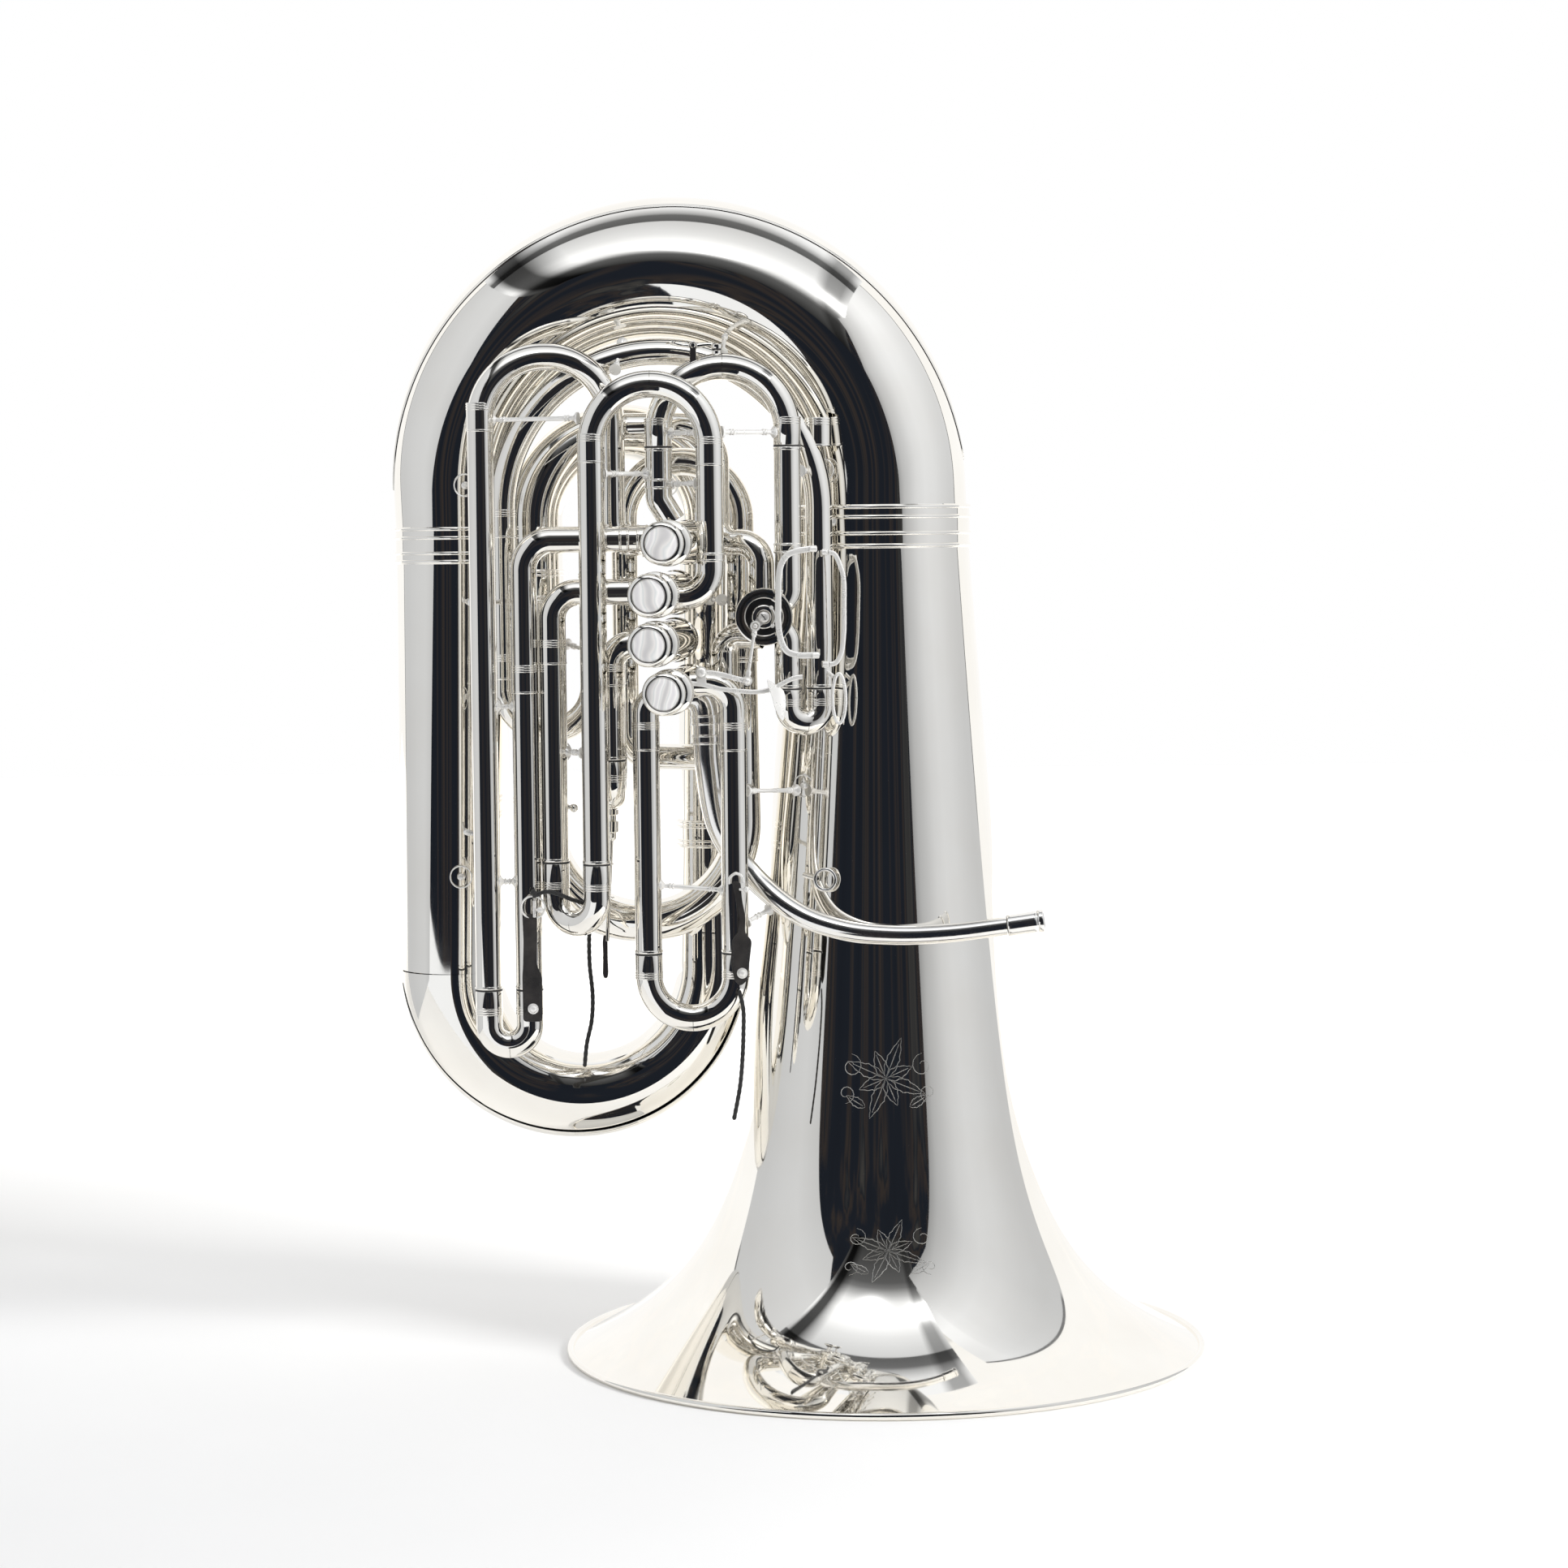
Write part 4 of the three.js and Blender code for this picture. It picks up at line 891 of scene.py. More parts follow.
def water_key():
    y, height = MAIN_SLIDE["y"][0], WATER_KEY["height"]
    pivot, pad, tip = WATER_KEY["pivot"], WATER_KEY["pad"], WATER_KEY["tip"]
    arm = smooth_path([(pad, y, height + 0.4), (pad - 7, y, height + 0.8), (pivot, y, height),
                       (pivot - 9, y, height + 0.7), (tip + 3, y, height + 2.6)], 1.0)
    arm = swept(arm, taper(1.5, 1.7, 2.0, 1.6, 1.7), None, 16)
    spoon = revolved([(0.4, 0), (3.6, 0.2), (4.2, 0.9), (3.6, 1.6), (0.4, 1.3)],
                     (tip + 3.4, y, height + 1.6), (-0.15, 0, 1), 28)
    cup = revolved([(0.4, -2.4), (4.2, -2.4), (4.5, -1.8), (4.5, 0.6), (3.0, 1.6), (0.4, 1.8)],
                   (pad, y, height), (0, 0, 1), 32)
    boss = revolved([(1.2, -3.9), (2.4, -3.9), (2.5, -3.5), (2.5, 3.5), (2.4, 3.9), (1.2, 3.9)],
                    (pivot, y, height), (0, 1, 0), 24)
    coils = []
    for turn in range(4):
        coils.append(torus((pivot, y - 3.2 + turn * 2.0, height), (0, 1, 0), 3.0, 0.45, 24, 8))
    piece("water_key_arm", [arm, spoon, cup, boss] + coils, SILVER, "water_key", replaces=["water_key"])
    cork = revolved([(0.4, -3.4), (3.5, -3.4), (3.7, -2.5), (0.4, -2.3)], (pad, y, height), (0, 0, 1), 28)
    piece("water_key_pad", [cork], FELT, "water_key")


def fifth_slide():
    (x1, x2), (y1, y2) = SLIDE_5["x"], SLIDE_5["y"]
    inlet = bent_tube([(x1, y1, 532), (x1, y1, 577, 11), (ROTOR[0] + 12, y1, 578)], SLIDE_5)
    piece("fifth_inlet_tube", [inlet, leg_lip(SLIDE_5)[0]], SILVER, replaces=["fifth_valve_inlet"])
    loop = bent_tube([
        (x2, y2, 532), (x2, y2, 570, 40), (x2, -66, 792, 122), (-293, -55, 792, 122),
        (-293, -55, 500, 34), (-224.5, -55, 500, 34), (-224.5, -55, 735, 30), (-127, -60, 735, 30),
        (-127, -72, 645, 16), (-93, -82, 645, 18), (-93, -84, ROTOR[1] + 14)], SLIDE_5, 3)
    joints = [leg_ferrule(x2, -66.5, 718, 740), leg_ferrule(-293, -55, 650, 672),
              leg_ferrule(-293, -55, 540, 560), leg_ferrule(-224.5, -55, 600, 622),
              collar((-123, -73, 646), (1, -0.3, 0), 8), leg_lip(SLIDE_5)[1]]
    piece("fifth_loop_tube", [loop] + joints, SILVER, replaces=["fifth_valve_loop"])
    slide_crook("fifth_slide_crook", SLIDE_5, "slide_5", 12)


# ---- Rotary valve and its lever -------------------------------------------------------------------------

def rotary_valve():
    spot = (ROTOR[0], ROTOR_BACK, ROTOR[1])
    out = (0, -1, 0)
    length = ROTOR_BACK - ROTOR_FRONT
    casing = [(0.4, -1.2), (3.4, -1.2), (4.2, 0), (13.0, 0), (13.5, -0.7), (14.6, -0.7), (15.1, 0),
              (19.2, 0), (20, 0.8), (20, 8), (20.7, 9), (20.7, 11), (20, 12), (20, length - 6),
              (20.8, length - 5), (20.8, length - 0.6), (20.4, length), (17.4, length), (17.4, 3), (0.4, 3)]
    piece("rotor_casing_turned", [turned(casing, spot, out, 96)], SILVER, replaces=["rotor_casing"])
    top = length + 0.3
    cap = [(3.8, top), (21.6, top), (22, top + 0.6), (22, top + 1.4), (22, top + 3.0), (21.4, top + 3.8),
           (20.3, top + 4.2), (19.2, top + 4.2), (18.7, top + 3.4), (18.0, top + 3.0), (17.2, top + 3.4),
           (16.8, top + 4.1), (15.4, top + 4.3), (14.9, top + 3.5), (13.9, top + 3.1), (9.6, top + 3.1),
           (9.0, top + 3.9), (8.2, top + 4.4), (5.6, top + 4.5), (5.0, top + 4.0), (3.8, top + 4.0)]
    shape = knurled(cap + cap[:1], spot, out, 90, 0.5, 3, 4)
    piece("rotor_cap_turned", [shape], SILVER, replaces=["rotor_cap"])
    # Painted shade: thin rings of dark metal at the bottom of the cap's recess and groove, where shade
    # falls.
    recess = [(9.7, top + 3.12), (13.8, top + 3.12), (13.8, top + 3.35), (9.7, top + 3.35)]
    groove = [(17.3, top + 3.2), (18.6, top + 3.2), (18.6, top + 3.4), (17.3, top + 3.4)]
    piece("rotor_cap_recess_shade", [turned(recess, spot, out, 72), turned(groove, spot, out, 72)], RECESS_SHADE)
    screws = []
    for x, z in ((-85.6, 594.8), (-84.8, 581.4)):
        head = [(0.3, 0), (1.7, 0), (1.9, 0.4), (1.4, 1.2), (0.3, 1.3)]
        screws.append(revolved(head, (x, ROTOR_BACK - top - 3.2, z), out, 20))
    plug = [(0.4, 3.3), (16.4, 3.3), (16.7, 3.6), (16.7, length - 1.3), (16.4, length - 1), (3, length - 1),
            (3, length + 6.6), (0.4, length + 6.6)]
    cap_top = length + 5
    arm_y = ROTOR_BACK - cap_top - 3
    along, across = np.array([-0.7071, -0.7071]), np.array([0.7071, -0.7071])
    half_turn = np.linspace(-math.pi / 2, math.pi / 2, 9)
    outline = []
    for a in half_turn:
        outline.append(np.array(ROTOR) - along * 3.9 * math.cos(a) + across * 3.9 * math.sin(a))
    for a in half_turn[::-1]:
        tip = along * (ROTOR_ARM + 2.7 * math.cos(a)) + across * 2.7 * math.sin(a)
        outline.append(np.array(ROTOR) + tip)
    screw = [(0.3, 0), (4.2, 0)] + dome(4.4, 0.5, 2.3)
    ball_x, ball_z = ROTOR_BALL
    shapes = [revolved(plug, spot, out, 64), plate(outline, arm_y - 1.3, arm_y + 1.3, 0.4),
              revolved(screw, (ROTOR[0], arm_y - 1.2, ROTOR[1]), out, 36),
              rod((ball_x, arm_y, ball_z), (ball_x, LINK_Y + 1, ball_z), 1.5),
              ball((ball_x, LINK_Y, ball_z), 2.3)]
    piece("rotor_and_arm", shapes, NICKEL, "rotor", ["rotor"])
    piece("rotor_cap_screws", screws, FROSTED)
    # Painted shade: a dark bar set into the screw's head stands in for its shaded slot.
    slot = [(-0.3, -2.9), (0.3, -2.9), (0.3, 2.9), (-0.3, 2.9)]
    turn = [(ROTOR[0] + a * 0.8 - b * 0.6, ROTOR[1] + a * 0.6 + b * 0.8) for a, b in slot]
    piece("rotor_screw_slot_shade", [plate(turn, arm_y - 4.05, arm_y - 3.0, 0.05)], RECESS_SHADE, "rotor")


def lever_linkage():
    """The thumb lever on its post, and the link rod up to the ball on the rotor's arm."""
    (px, pz), (bx, bz) = LEVER_PIVOT, LEVER_BALL
    y = LEVER_Y
    bar = [(-147, 538.6), (-138, 537.6), (-126, 534.4), (-112.6, 532.7), (-99, 531.6), (-89.2, 532.5),
           (-81, 536), (-73.7, 539.7), (-68, 542), (-62, 542.7)]
    arm = [(px, pz), (px + 12, pz - 1.2), (bx - 8, bz + 1.8), (bx, bz)]
    web = rounded([(px - 3.4, pz), (px - 3.4, pz - 9), (px + 4, pz - 11), (px + 3.4, pz)], 2, 4)
    lever = [bowed_band([(x, y, z) for x, z in bar], 2.4, 3.6),
             bowed_band([(x, y, z) for x, z in arm], 2.4, 4.0), plate(web, y - 1.1, y + 1.1, 0.4)]
    outline = [(-89.1, 542.3), (-84.5, 538), (-77.5, 534), (-75.1, 528.6), (-74.8, 520), (-76.0, 512),
               (-77.2, 508.9), (-79.6, 511), (-83.4, 519), (-85.6, 528.7), (-88.2, 535)]
    points, faces = plate(rounded(outline, 2.5, 4), y - 1.0, y + 1.0, 0.5)
    points = points.copy()
    points[:, 1] += (points[:, 0] + 81) * 0.45
    lever.append((points, faces))
    boss = [(1.5, 0), (4.2, 0), (4.4, 0.4), (4.4, 5.6), (4.2, 6), (1.5, 6)]
    lever.append(revolved(boss, (px, y - 2, pz), (0, 1, 0), 32))
    lever.append(ball((bx, LINK_Y, bz), 2.4))
    lever.append(rod((bx, y, bz), (bx, LINK_Y, bz), 1.4))
    lever.append(ball((bx, y - 1.2, bz), 2.9))
    piece("thumb_lever_plate", lever, FROSTED, "thumb_lever", replaces=["thumb_lever"])
    cap = [(0.3, 0), (3.6, 0)] + dome(3.7, 0.4, 1.9, 8)
    post = [revolved(cap, (px, y - 2.3, pz), (0, -1, 0), 32),
            rod((px, y + 4.2, pz), (px, -104, pz + 1), 2.4),
            torus((px, y + 5, pz), (0, 1, 0), 3.0, 0.8, 32, 10)]
    piece("lever_hinge_post", post, FROSTED)
    low = np.array((bx, LINK_Y, bz), float)
    high = np.array((ROTOR_BALL[0], LINK_Y, ROTOR_BALL[1]), float)
    way = unit(high - low)
    ring = [(2.55, -1.6), (3.7, -1.6), (3.9, -1.2), (3.9, 1.2), (3.7, 1.6), (2.55, 1.6)]
    neck = [(0.3, 3.4), (2.0, 3.4), (2.2, 6.6), (1.6, 8.0), (0.3, 8.0)]
    shapes = []
    for end, sign in ((low, 1), (high, -1)):
        shapes.append(turned(ring, end, (0, 1, 0), 32))
        shapes.append(revolved(neck, end, way * sign, 24))
    shapes.append(rod(low + way * 7, high - way * 7, 1.25, 20))
    piece("link_rod_with_sockets", shapes, FROSTED, "link_rod", replaces=["link_rod"])


# ---- Leadpipe, hand loops, braces and other fittings ----------------------------------------------------

def leadpipe():
    pipe = smooth_path([
        (-145, -86, 527), (-139, -87, 520), (-136, -88, 474), (-127, -87, 424), (-106, -88, 392),
        (-69, -104, 361), (-32, -115, 348), (5, -118, 344), (48, -118, 345), (92, -118, 350)], 3.0)
    shapes = [swept(pipe, taper(10.25, 7), taper(9, 5.6), 40)]
    way = np.array([28.5, 0, 3.9])
    outline = [(5.5, 0), (7.3, 0), (7.9, 0.4), (8.2, 1.2), (8.2, 3), (8.15, 12), (8.3, 20), (8.4, 22.4),
               (8.0, 23.0), (8.0, 23.6), (8.6, 24.1), (8.9, 25.2), (8.9, 27.2), (8.5, 28.3), (7.9, 28.75),
               (6.7, 28.75), (6.4, 28.3), (5.6, 0)]
    shapes.append(turned(outline, (92.5, -118, 350.07), way, 56))
    for z in (510, 494):
        point, tangent = min(pipe, key=lambda station: abs(station[0][2] - z))
        shapes.append(collar(point, tangent, 8, 10.1))
    piece("leadpipe_tube", shapes, SATIN, replaces=["leadpipe"])


def bowed_band(points, width, thick):
    """A flat band bent along points, with round edges: width runs front to back, thick across."""
    path = smooth_path(points, 1.5)
    turns = np.linspace(0, 2 * math.pi, 20, endpoint=False)
    rows = []
    flat = np.sign(np.cos(turns)) * np.abs(np.cos(turns)) ** 0.5
    for (p, _), (n, b) in zip(path, frames_along(path, (0, 1, 0))):
        rows.append(p + width / 2 * flat[:, None] * n + thick / 2 * np.sin(turns)[:, None] * b)
    return grid(np.array(rows), False)


def hand_loops():
    """Two D-shaped loops for the right hand, each with its Y and thickness, and an oval ring below them."""
    routes = {
        "left_hand_loop": (-123, 4.8, [
            (-55.4, 639.5), (-66, 637.8), (-72.7, 634.9), (-77.6, 627.5), (-79.2, 618.6), (-80, 597),
            (-80, 582.2), (-77.8, 569.5), (-73.5, 561.9), (-65, 559), (-54.3, 558.8)]),
        "right_hand_loop": (-95, 3.8, [
            (-41, 636.6), (-36.7, 635.2), (-32, 625.5), (-29.7, 615.8), (-29.6, 595), (-30.1, 573),
            (-32.6, 557.5), (-36.6, 551.7), (-41, 550.6)])}
    for name, (y, thick, route) in routes.items():
        ends = []
        for x, z in (route[0], route[-1]):
            ends.append(rod((x - 0.5, y, z), (x + math.copysign(5, -x - 48), y + 1, z), 2.5))
        band = bowed_band([(x, y, z) for x, z in route], 3.0, thick)
        piece(name + "_band", [band] + ends, FROSTED, replaces=[name])
    oval = []
    for a in np.linspace(0, 2 * math.pi, 48, endpoint=False):
        oval.append(np.array((-34 + 5.0 * math.sin(a), -93, 524.3 + 19 * math.cos(a))))
    stations = [(p, unit(oval[(i + 1) % 48] - oval[i - 1])) for i, p in enumerate(oval)]
    ring = grid(ring_rows(stations, [1.4] * 48, 12, (0, 1, 0)), True)
    piece("oval_ring", [ring, rod((-38, -92, 541), (-47, -84, 548), 1.6)], FROSTED)


def brace(a, b, radius=1.7, foot=4.6):
    """A turned stay between two tubes: a flared foot at each end, and pairs of collars."""
    a, b = np.array(a, float), np.array(b, float)
    length = float(np.linalg.norm(b - a))
    half = [(0.3, -1.0), (foot, -1.0), (foot, 0.3), (foot * 0.62, 1.5), (radius + 0.5, 2.4), (radius, 2.9)]
    for at in (6.0, 8.4) if length > 26 else (length / 2 - 2.4,):
        for k in range(5):
            t = math.pi * k / 4
            half.append((radius + 0.8 * math.sin(t), at + 0.8 - 0.8 * math.cos(t)))
    outline = half + [(r, length - h) for r, h in half[::-1]]
    return revolved(outline, a, b - a, 28)


def flange(point, direction, radius):
    """The beaded edge of a thin plate that is soldered to a tube, and the stub of the stay in its middle."""
    return [torus(point, direction, radius, 0.55, 48, 8),
            revolved([(0.3, -0.6), (3.0, -0.6), (2.6, 0.8), (1.6, 2.0), (0.3, 2.1)], point, direction, 24)]


def braces():
    stays = [
        ((-296, -98, 740), (-231, -118, 740)), ((-121, -116, 728.5), (-82, -96, 728.5)),
        ((-161, -96, 728.5), (-140.5, -116, 728.5)), ((-161, -94, 690), (-140.5, -117, 690)),
        ((-211, -117, 698), (-180.5, -96, 698)), ((-62, -90, 699), (-57, -74, 699)),
        ((-296, -100, 521), (-284.5, -100, 521)), ((-243, -102, 486), (-230, -118, 486)),
        ((-296, -100, 386.5), (-284.5, -100, 386.5)), ((-172, -112, 383.5), (-125.5, -112, 379.5)),
        ((-105.5, -108, 455), (-68, -64, 452)), ((-106, -108, 354.5), (-90, -96, 362)),
        ((-203, -84, 778), (-199, -40, 800)), ((-121, -84, 790), (-119, -40, 806)),
        ((-306, -92, 600), (-320, -40, 600)), ((-306, -92, 420), (-327, -38, 420)),
        ((-182, -103, 450), (-190, -46, 470)), ((-47, -70, 660), (-38, -60, 660)),
        ((-124, -44, 600), (-134, -16, 600)), ((-224, -48, 560), (-246, -24, 566)),
    ]
    plates = [
        ((-322.3, -49, 691), (0.2, -0.95, 0), 8.5), ((-331, -44, 385), (-0.1, -0.98, 0), 8.5),
        ((-262.7, -58, 462.4), (0, -1, 0), 8.5), ((-61.9, -60, 455), (-0.5, -0.85, 0), 8.5),
        ((-44.4, -60, 699.8), (-0.3, -0.95, 0), 8.5), ((-302.5, -88, 521), (0.15, -0.98, 0), 8.5),
        ((-249.3, -88, 485.4), (0.2, -0.97, 0), 8.5), ((-304.7, -88, 385), (0.15, -0.98, 0), 8.5),
        ((-164.4, -81, 689.7), (0.15, -0.98, 0), 8.5),
    ]
    piece("braces", [brace(a, b) for a, b in stays], FROSTED)
    piece("brace_flanges", [shape for p in plates for shape in flange(*p)], FROSTED)
    hook = torus((-46, -86, 384), (0.2, 1, 0), 8, 1.6, 48, 14)
    base = rod((-52, -78, 384), (-62, -66, 386), 2.2)
    screw = [rod((-240, -92, 442), (-252, -92, 446), 1.7), ball((-239, -92, 442), 3.4)]
    piece("ring_hook", [hook, base] + screw, SATIN)


# ---- Straps -------------------------------------------------------------------------------------------

def strap_body(points, y, thick):
    """A leather strip along an outline, with softened edges."""
    return plate(rounded(points, 3.2, 6), y - thick / 2, y + thick / 2, 0.5)


def stitches(points, y, pitch=3.0):
    """Short threads along a line."""
    shapes = []
    for a, b in zip(points, points[1:]):
        a, b = np.array(a, float), np.array(b, float)
        count = int(np.linalg.norm(b - a) / pitch)
        for k in range(count):
            p, q = a + (b - a) * (k + 0.15) / count, a + (b - a) * (k + 0.75) / count
            shapes.append(rod((p[0], y, p[1]), (q[0], y, q[1]), 0.3, 8))
    return shapes


def snap(x, y, z):
    """A press stud: a flat flange with a round head."""
    outline = [(0.3, 0), (4.0, 0), (4.1, 0.4), (3.4, 0.7)] + dome(3.1, 0.7, 2.3)
    return revolved(outline, (x, y, z), (0, -1, 0), 36)


def straps():
    """Each slide's leather strap with its stitching and fittings, just in front of the slide's legs."""
    y4 = MIDDLE_Y - TUBE - 2
    strap = strap_body([
        (-277.4, 362), (-278.6, 321), (-279.2, 315), (-279, 279.4), (-264.2, 279.4), (-264, 315),
        (-267.8, 322), (-267.2, 362)], y4, 1.9)
    piece("fourth_strap_leather", [strap], LEATHER, replaces=["fourth_slide_strap"])
    seam = stitches([(-277.4, 313), (-277.4, 281.2), (-265.8, 281.2), (-265.8, 313)], y4 - 1.0)
    piece("fourth_strap_stitching", seam, CORD)
    fittings = [snap(-271.2, y4 - 0.9, 289.5), torus((-270, y4 - 1.8, 367.7), (0, 1, 0.2), 9.0, 0.8, 48, 12),
                ball((-264.5, y4 - 3.2, 365.8), 2.6),
                rod((-264.5, y4 - 3.2, 365.8), (-270, y4 - 1.0, 365.8), 1.0),
                rod((-269, y4 - 2.2, 360), (-269, y4 - 2.2, 373), 1.3)]
    piece("fourth_strap_fittings", fittings, FROSTED)
    x, y, z = CORD_ROUTES["fourth_slide_strap_cord"][0]
    knot = [torus((x + 1, y, z + 3), way, 1.5, 1.6, 24, 10) for way in ((1, 0.3, 0.4), (0.2, 0.3, 1))]
    piece("fourth_strap_knot", knot, CORD)
    y1 = SLIDE_1["y"][0] - TUBE - 2
    strap = strap_body([
        (-117.6, 387), (-114.4, 372), (-112.0, 360), (-113, 348), (-118, 342.5), (-119, 324), (-116.4, 311),
        (-112, 306.5), (-106.4, 311), (-104.4, 328), (-102.7, 342), (-108, 347), (-107.4, 360),
        (-109.8, 372), (-111, 387)], y1, 1.9)
    piece("first_strap_leather", [strap], LEATHER, replaces=["first_slide_strap"])
    seam = stitches([
        (-117, 340), (-117.4, 324), (-115, 312), (-107.8, 312), (-105.9, 328), (-104.6, 340)], y1 - 1.0)
    piece("first_strap_stitching", seam, CORD)
    hook = smooth_path([
        (-120, y1, 385), (-119, y1, 390), (-114.5, y1, 393), (-110, y1, 391), (-108.6, y1, 386)], 0.8)
    fittings = [snap(-110.3, y1 - 0.9, 316.7), swept(hook, 1.1, None, 12),
                ball((-106.5, y1 - 2.4, 381), 2.3),
                rod((-106.5, y1 - 2.4, 381), (-112, y1 - 1.0, 381), 1.0)]
    piece("first_strap_fittings", fittings, FROSTED)


# ---- Studio ---------------------------------------------------------------------------------------------

ROOF = 1320
SHEET_FRONT = -650
WALL_FRONT = -900
WALL_BACK = 275
POLE = 19  # width of the dark tent pole at each wall's back edge
POLE_FOOT = 450
ROOF_FRONT, ROOF_BACK = -1900, 300
ROOF_LEFT, ROOF_RIGHT = -760, 400
FLOOR_REACH = 7000
LEFT_WALL, RIGHT_WALL = -950, 650
# Height and X of each wall's front edge, where the cloths are drawn together above the bell.
RIGHT_EDGE = ((0, 600), (345, 561), (745, 440), (930, 300), (1020, 240), (1250, 350), (1700, 370))
LEFT_EDGE = ((0, -1450), (170, -1363), (650, -949), (925, -680), (1000, -700), (1656, -852))


def studio_world():
    """White behind and above for the metal to mirror, a dark room in front, and a plain white picture."""
    world = bpy.data.worlds.new("studio")
    bpy.context.scene.world = world
    world.use_nodes = True
    tree = world.node_tree
    tree.nodes.clear()
    split = add_node(tree, "SeparateXYZ", {"Vector": coordinates(tree, "Generated")})
    turn = add_node(tree, "MapRange", {"From Min": -1, "Value": split.outputs["Y"]})
    depth = ramp(tree, turn.outputs["Result"], [
        (0.0, (0, 0, 0)), (0.30, (0, 0, 0)), (0.335, (0.72, 0.72, 0.72)), (0.5, (0.78, 0.78, 0.775)),
        (0.51, (0.95, 0.95, 0.94)), (0.6, (1, 1, 1)), (1.0, (1, 1, 1))])
    room = ramp(tree, noise(tree, 7, stretch=(1, 1, 0.08), source="Generated"), [
        (0.0, (0.009, 0.011, 0.016)), (0.50, (0.012, 0.015, 0.022)), (0.585, (0.034, 0.028, 0.026)),
        (0.61, (0.012, 0.015, 0.021)), (0.68, (0.045, 0.044, 0.043)), (1.0, (0.020, 0.021, 0.028))])
    add = add_node(tree, "Mix")
    add.data_type = "RGBA"
    add.blend_type = "ADD"
    connect(tree, add, {"Factor": 1, "A": depth, "B": room})
    lit = add_node(tree, "Background", {"Color": add.outputs["Result"]})
    plain = add_node(tree, "Background", {"Color": (1, 1, 1, 1)})
    mix = add_node(tree, "MixShader", {"Fac": add_node(tree, "LightPath").outputs["Is Camera Ray"]})
    tree.links.new(lit.outputs[0], mix.inputs[1])
    tree.links.new(plain.outputs[0], mix.inputs[2])
    add_node(tree, "OutputWorld", {"Surface": mix.outputs[0]})


def glowing(name, profiles, spots=()):
    """A cloth that glows: its brightness is the product of one profile per axis, given as (place, level)
    stops in millimetres, with round spots of light added as (x, y, radius, level)."""
    material = bpy.data.materials.new(name)
    material.use_nodes = True
    tree = material.node_tree
    tree.nodes.clear()
    split = add_node(tree, "SeparateXYZ", {"Vector": coordinates(tree)})

    def combine(operation, a, b):
        node = tree.nodes.new("ShaderNodeMath")
        node.operation = operation
        for socket, value in zip(node.inputs, (a, b)):
            if isinstance(value, (int, float)):
                socket.default_value = value
            else:
                tree.links.new(value, socket)
        return node.outputs[0]

    level = 1.0
    for axis, stops in profiles.items():
        number = "XYZ".index(axis)
        first, last = stops[0][0], stops[-1][0]
        ends = [at * MM + BELL_AXIS[number] for at in (first, last)]
        reach = ranged(tree, split.outputs[number], 0, 1, *ends)
        shade = ramp(tree, reach, [((at - first) / (last - first), (v / 2,) * 3) for at, v in stops])
        level = combine("MULTIPLY", level, combine("MULTIPLY", shade, 2.0))
    for x, y, radius, extra in spots:
        dx = combine("SUBTRACT", split.outputs[0], x * MM + BELL_AXIS[0])
        dy = combine("SUBTRACT", split.outputs[1], y * MM + BELL_AXIS[1])
        square = combine("ADD", combine("MULTIPLY", dx, dx), combine("MULTIPLY", dy, dy))
        fall = combine("EXPONENT", combine("MULTIPLY", square, -1 / (radius * MM) ** 2), 0.0)
        level = combine("ADD", level, combine("MULTIPLY", fall, extra))
    glow = add_node(tree, "Emission", {"Color": (0.965, 0.99, 1.035, 1), "Strength": level})
    add_node(tree, "OutputMaterial", {"Surface": glow.outputs[0]})
    return material


def sheet(name, rows, material, shown=False, mirrored=True):
    """A cloth through rows of points, part of the studio and not of the tuba. It casts no shadow."""
    rows = np.array(rows, float)
    count, width = rows.shape[:2]
    faces = [(r * width + c, r * width + c + 1, (r + 1) * width + c + 1, (r + 1) * width + c)
             for r in range(count - 1) for c in range(width - 1)]
    data = bpy.data.meshes.new(name)
    data.from_pydata(place(rows.reshape(-1, 3)).tolist(), [], faces)
    data.materials.append(material)
    obj = bpy.data.objects.new(name, data)
    obj.visible_camera = shown
    obj.visible_shadow = False
    obj.visible_glossy = mirrored
    bpy.context.scene.collection.objects.link(obj)


def wall(name, edge, back, material):
    """A side cloth from its front edge to its back edge, where a dark pole stands above POLE_FOOT."""
    rows = [[(x, WALL_FRONT, z), (back, WALL_BACK - POLE, z)] for z, x in edge]
    sheet(name, rows, material)
    pole = glowing(name + "_pole", {"Z": [(0, 0.6), (POLE_FOOT - 40, 0.6), (POLE_FOOT, 0.2), (ROOF, 0.2)]})
    rows = [[(back, WALL_BACK - POLE, z), (back, WALL_BACK, z)] for z in (0, edge[-1][0])]
    sheet(name + "_pole", rows, pole)


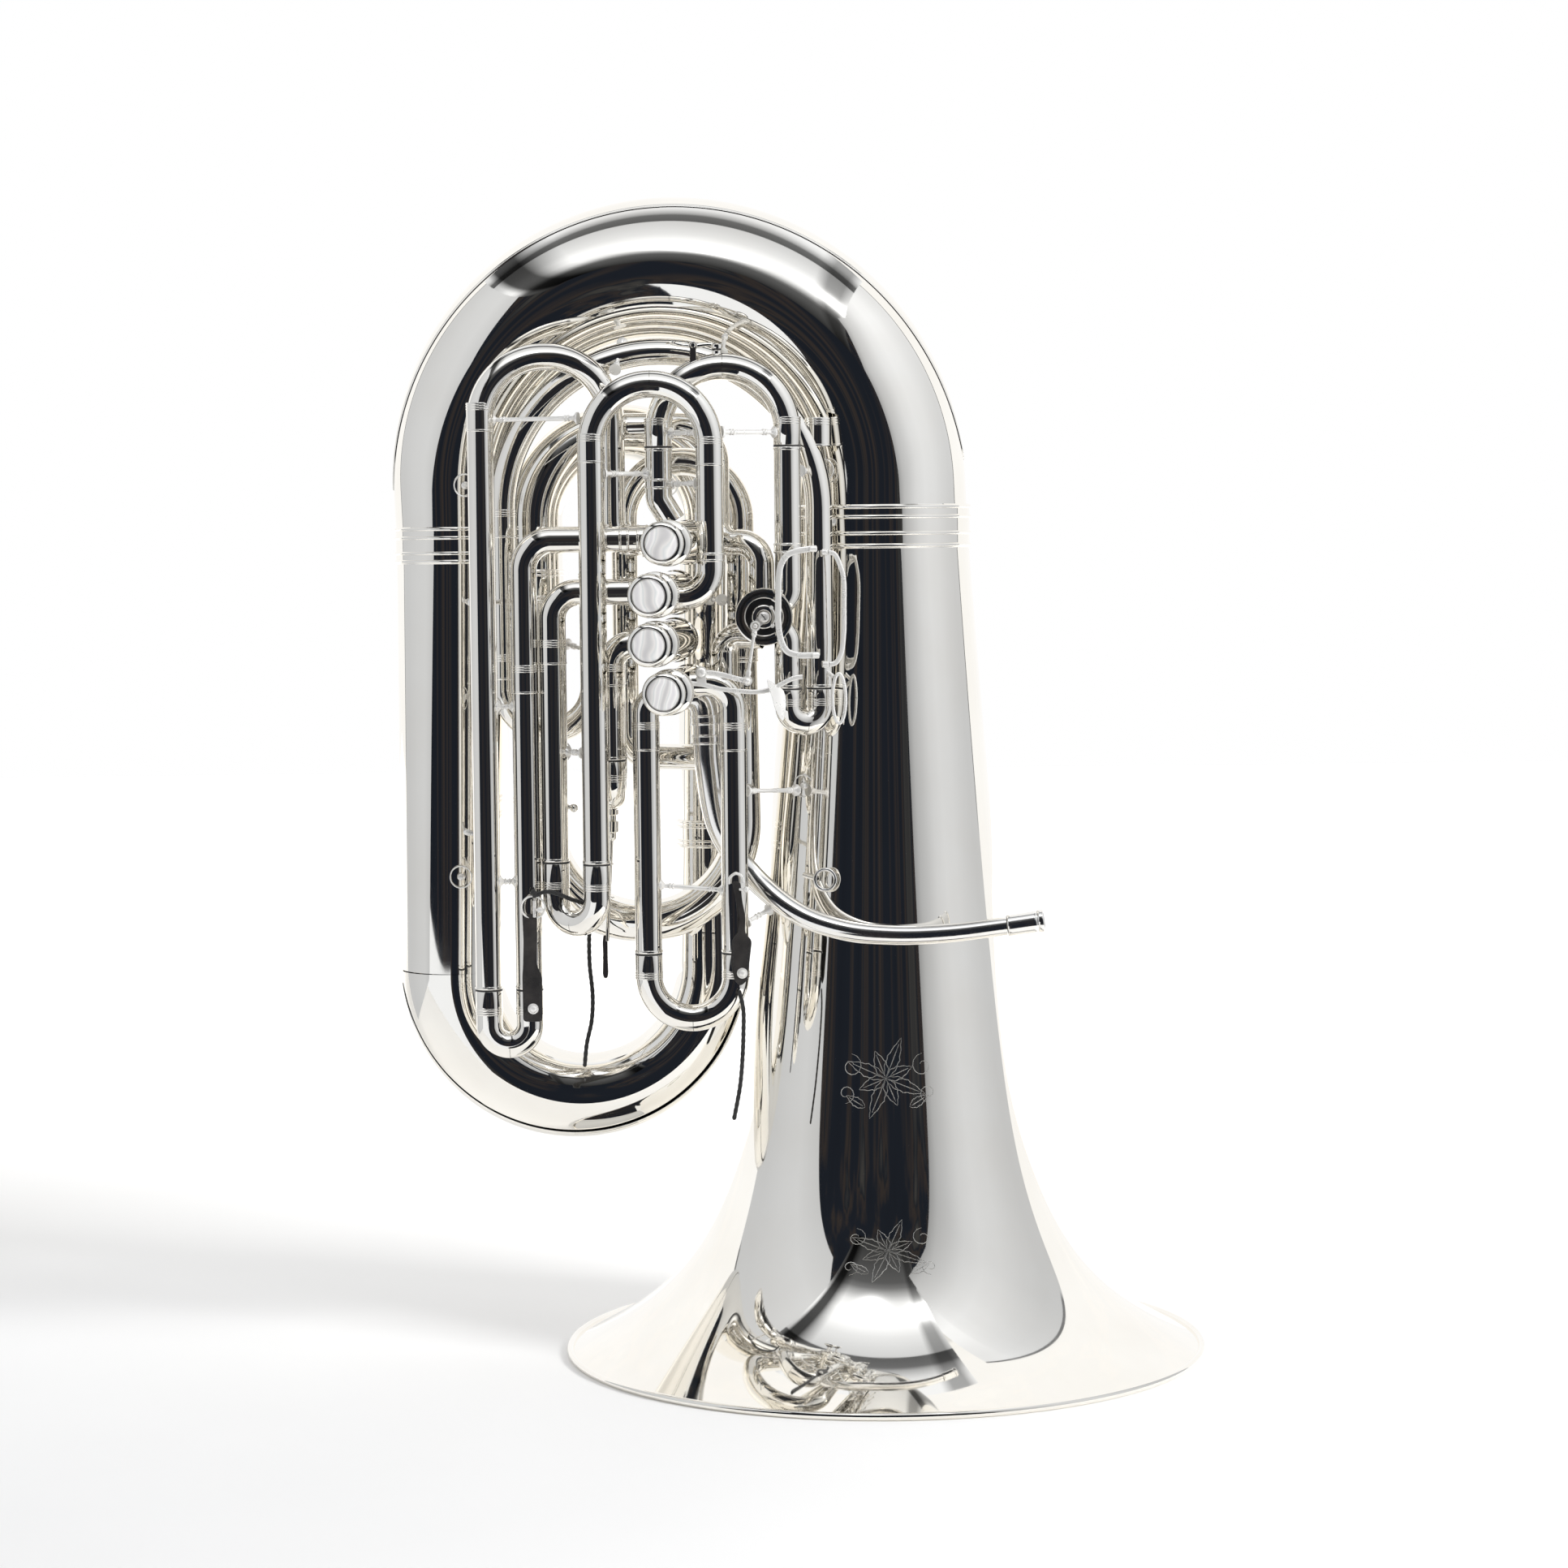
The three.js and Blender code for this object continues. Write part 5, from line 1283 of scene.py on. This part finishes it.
def tent():
    """The light tent: a glowing roof with a dark frame, two grey side walls, and an open, dark front."""
    roof = glowing("roof_cloth", {
        "Y": [(ROOF_FRONT, 0.03), (-1400, 0.07), (-1050, 0.11), (-960, 0.20), (-850, 0.55), (-750, 0.98),
              (-600, 1.25), (-450, 1.15), (-320, 0.90), (-200, 0.78), (-105, 0.70), (-95, 0.12), (5, 0.16),
              (40, 0.45), (130, 0.85), (210, 1.0), (ROOF_BACK, 1.0)],
        "X": [(ROOF_LEFT, 0.85), (-740, 0.85), (-705, 0.07), (-615, 0.07), (-560, 0.5), (-480, 1.0),
              (235, 1.0), (285, 0.42), (355, 0.42), (ROOF_RIGHT, 0.95)]},
        [(-160, -690, 110, 3.0), (330, -600, 100, 3.0)])
    rows = [[(x, y, ROOF) for x in (ROOF_LEFT, ROOF_RIGHT)] for y in (ROOF_FRONT, ROOF_BACK)]
    sheet("tent_roof", rows, roof)
    right = glowing("right_wall_cloth", {
        "Y": [(WALL_FRONT, 0.33), (-775, 0.48), (-625, 0.57), (-475, 0.69), (-325, 0.75), (-175, 0.73),
              (-25, 0.67), (125, 0.63), (WALL_BACK, 0.63)],
        "Z": [(0, 0.95), (500, 0.98), (900, 1.15), (ROOF, 1.4)]})
    left = glowing("left_wall_cloth", {
        "Y": [(WALL_FRONT, 0.60), (-500, 0.68), (-200, 0.66), (100, 0.62), (WALL_BACK, 0.62)],
        "Z": [(0, 0.95), (600, 1.0), (ROOF, 1.1)]})
    wall("tent_right_wall", RIGHT_EDGE, RIGHT_WALL, right)
    wall("tent_left_wall", LEFT_EDGE, LEFT_WALL, left)


def floor():
    """The pale sheet that the tuba stands on, which glows far behind it. The metal mirrors it only behind
    SHEET_FRONT; in front of that only the camera sees it."""
    material, tree, shader = new_material("floor_paper")
    colours = [(0.3, (0.905, 0.897, 0.882)), (0.7, (0.925, 0.917, 0.902))]
    split = add_node(tree, "SeparateXYZ", {"Vector": coordinates(tree)})
    rise = add_node(tree, "MapRange")
    rise.interpolation_type = "SMOOTHSTEP"
    connect(tree, rise, {"From Min": 0.3, "From Max": 2.4, "To Min": 0.02, "To Max": 0.6,
                         "Value": split.outputs["Y"]})
    connect(tree, shader, {
        "Base Color": ramp(tree, noise(tree, 3, 2), colours), "Roughness": 0.9,
        "Emission Color": (1, 1, 1, 1), "Emission Strength": rise.outputs["Result"]})
    across = (-FLOOR_REACH, FLOOR_REACH)
    sheet("floor", [[(x, y, 0) for x in across] for y in (SHEET_FRONT, FLOOR_REACH)], material, True)
    # To the left a glowing sheet that the metal mirrors reaches further forward: a painted reflection of the
    # lit floor there, which the camera does not see.
    corners = ((-340, SHEET_FRONT), (-365, -950), (-400, -2200))
    left = [[(-FLOOR_REACH, y, -1), (x, y, -1)] for x, y in corners]
    sheet("floor_left", left, glowing("floor_left_reflected_glow", {"Y": [(-2200, 0.95), (SHEET_FRONT, 0.95)]}))
    front = [[(x, y, 0) for x in across] for y in (-FLOOR_REACH, SHEET_FRONT)]
    sheet("floor_front", front, material, True, False)


def lights():
    """A key high on the right throws the faint shadow to the left, and two fills lighten the rest.
    Each is a name, place, target, size and power."""
    for name, spot, target, size, power in (
            ("key", (2.4, -1.5, 1.7), (0, 0, 0.2), 0.8, 77), ("fill", (-0.4, 1.6, 3.4), (0, 0.4, 0), 2.4, 3),
            ("front", (-0.4, -3.4, 1.6), (-0.1, 0, 0.4), 2.0, 31)):
        data = bpy.data.lights.new(name, "AREA")
        data.energy = power
        data.size = size
        lamp = bpy.data.objects.new(name, data)
        lamp.location = spot
        lamp.rotation_euler = (Vector(target) - Vector(spot)).to_track_quat("-Z", "Y").to_euler()
        lamp.visible_glossy = False
        lamp.visible_camera = False
        bpy.context.scene.collection.objects.link(lamp)


# ---- Assembly -------------------------------------------------------------------------------------------

make_camera()
make_cord("fourth_slide_strap_cord")
make_cord("first_slide_strap_cord")
bell()
engraving()
top_bow()
bow_guard("top_bow_guard_skin", BOW_PATH, taper(BOW_THICK_END, BOW_THIN_END), (-BOW_RADIUS, BOW_HEIGHT),
          4, 182, 9.5, ["top_bow_guard"])
big_joints()
branches()
for number in VALVES:
    valve(number)
fourth_slide()
third_slide()
second_slide()
first_slide()
main_slide()
water_key()
fifth_slide()
rotary_valve()
lever_linkage()
leadpipe()
hand_loops()
braces()
straps()
studio_world()
tent()
floor()
lights()
bpy.context.scene.view_settings.view_transform = "Standard"
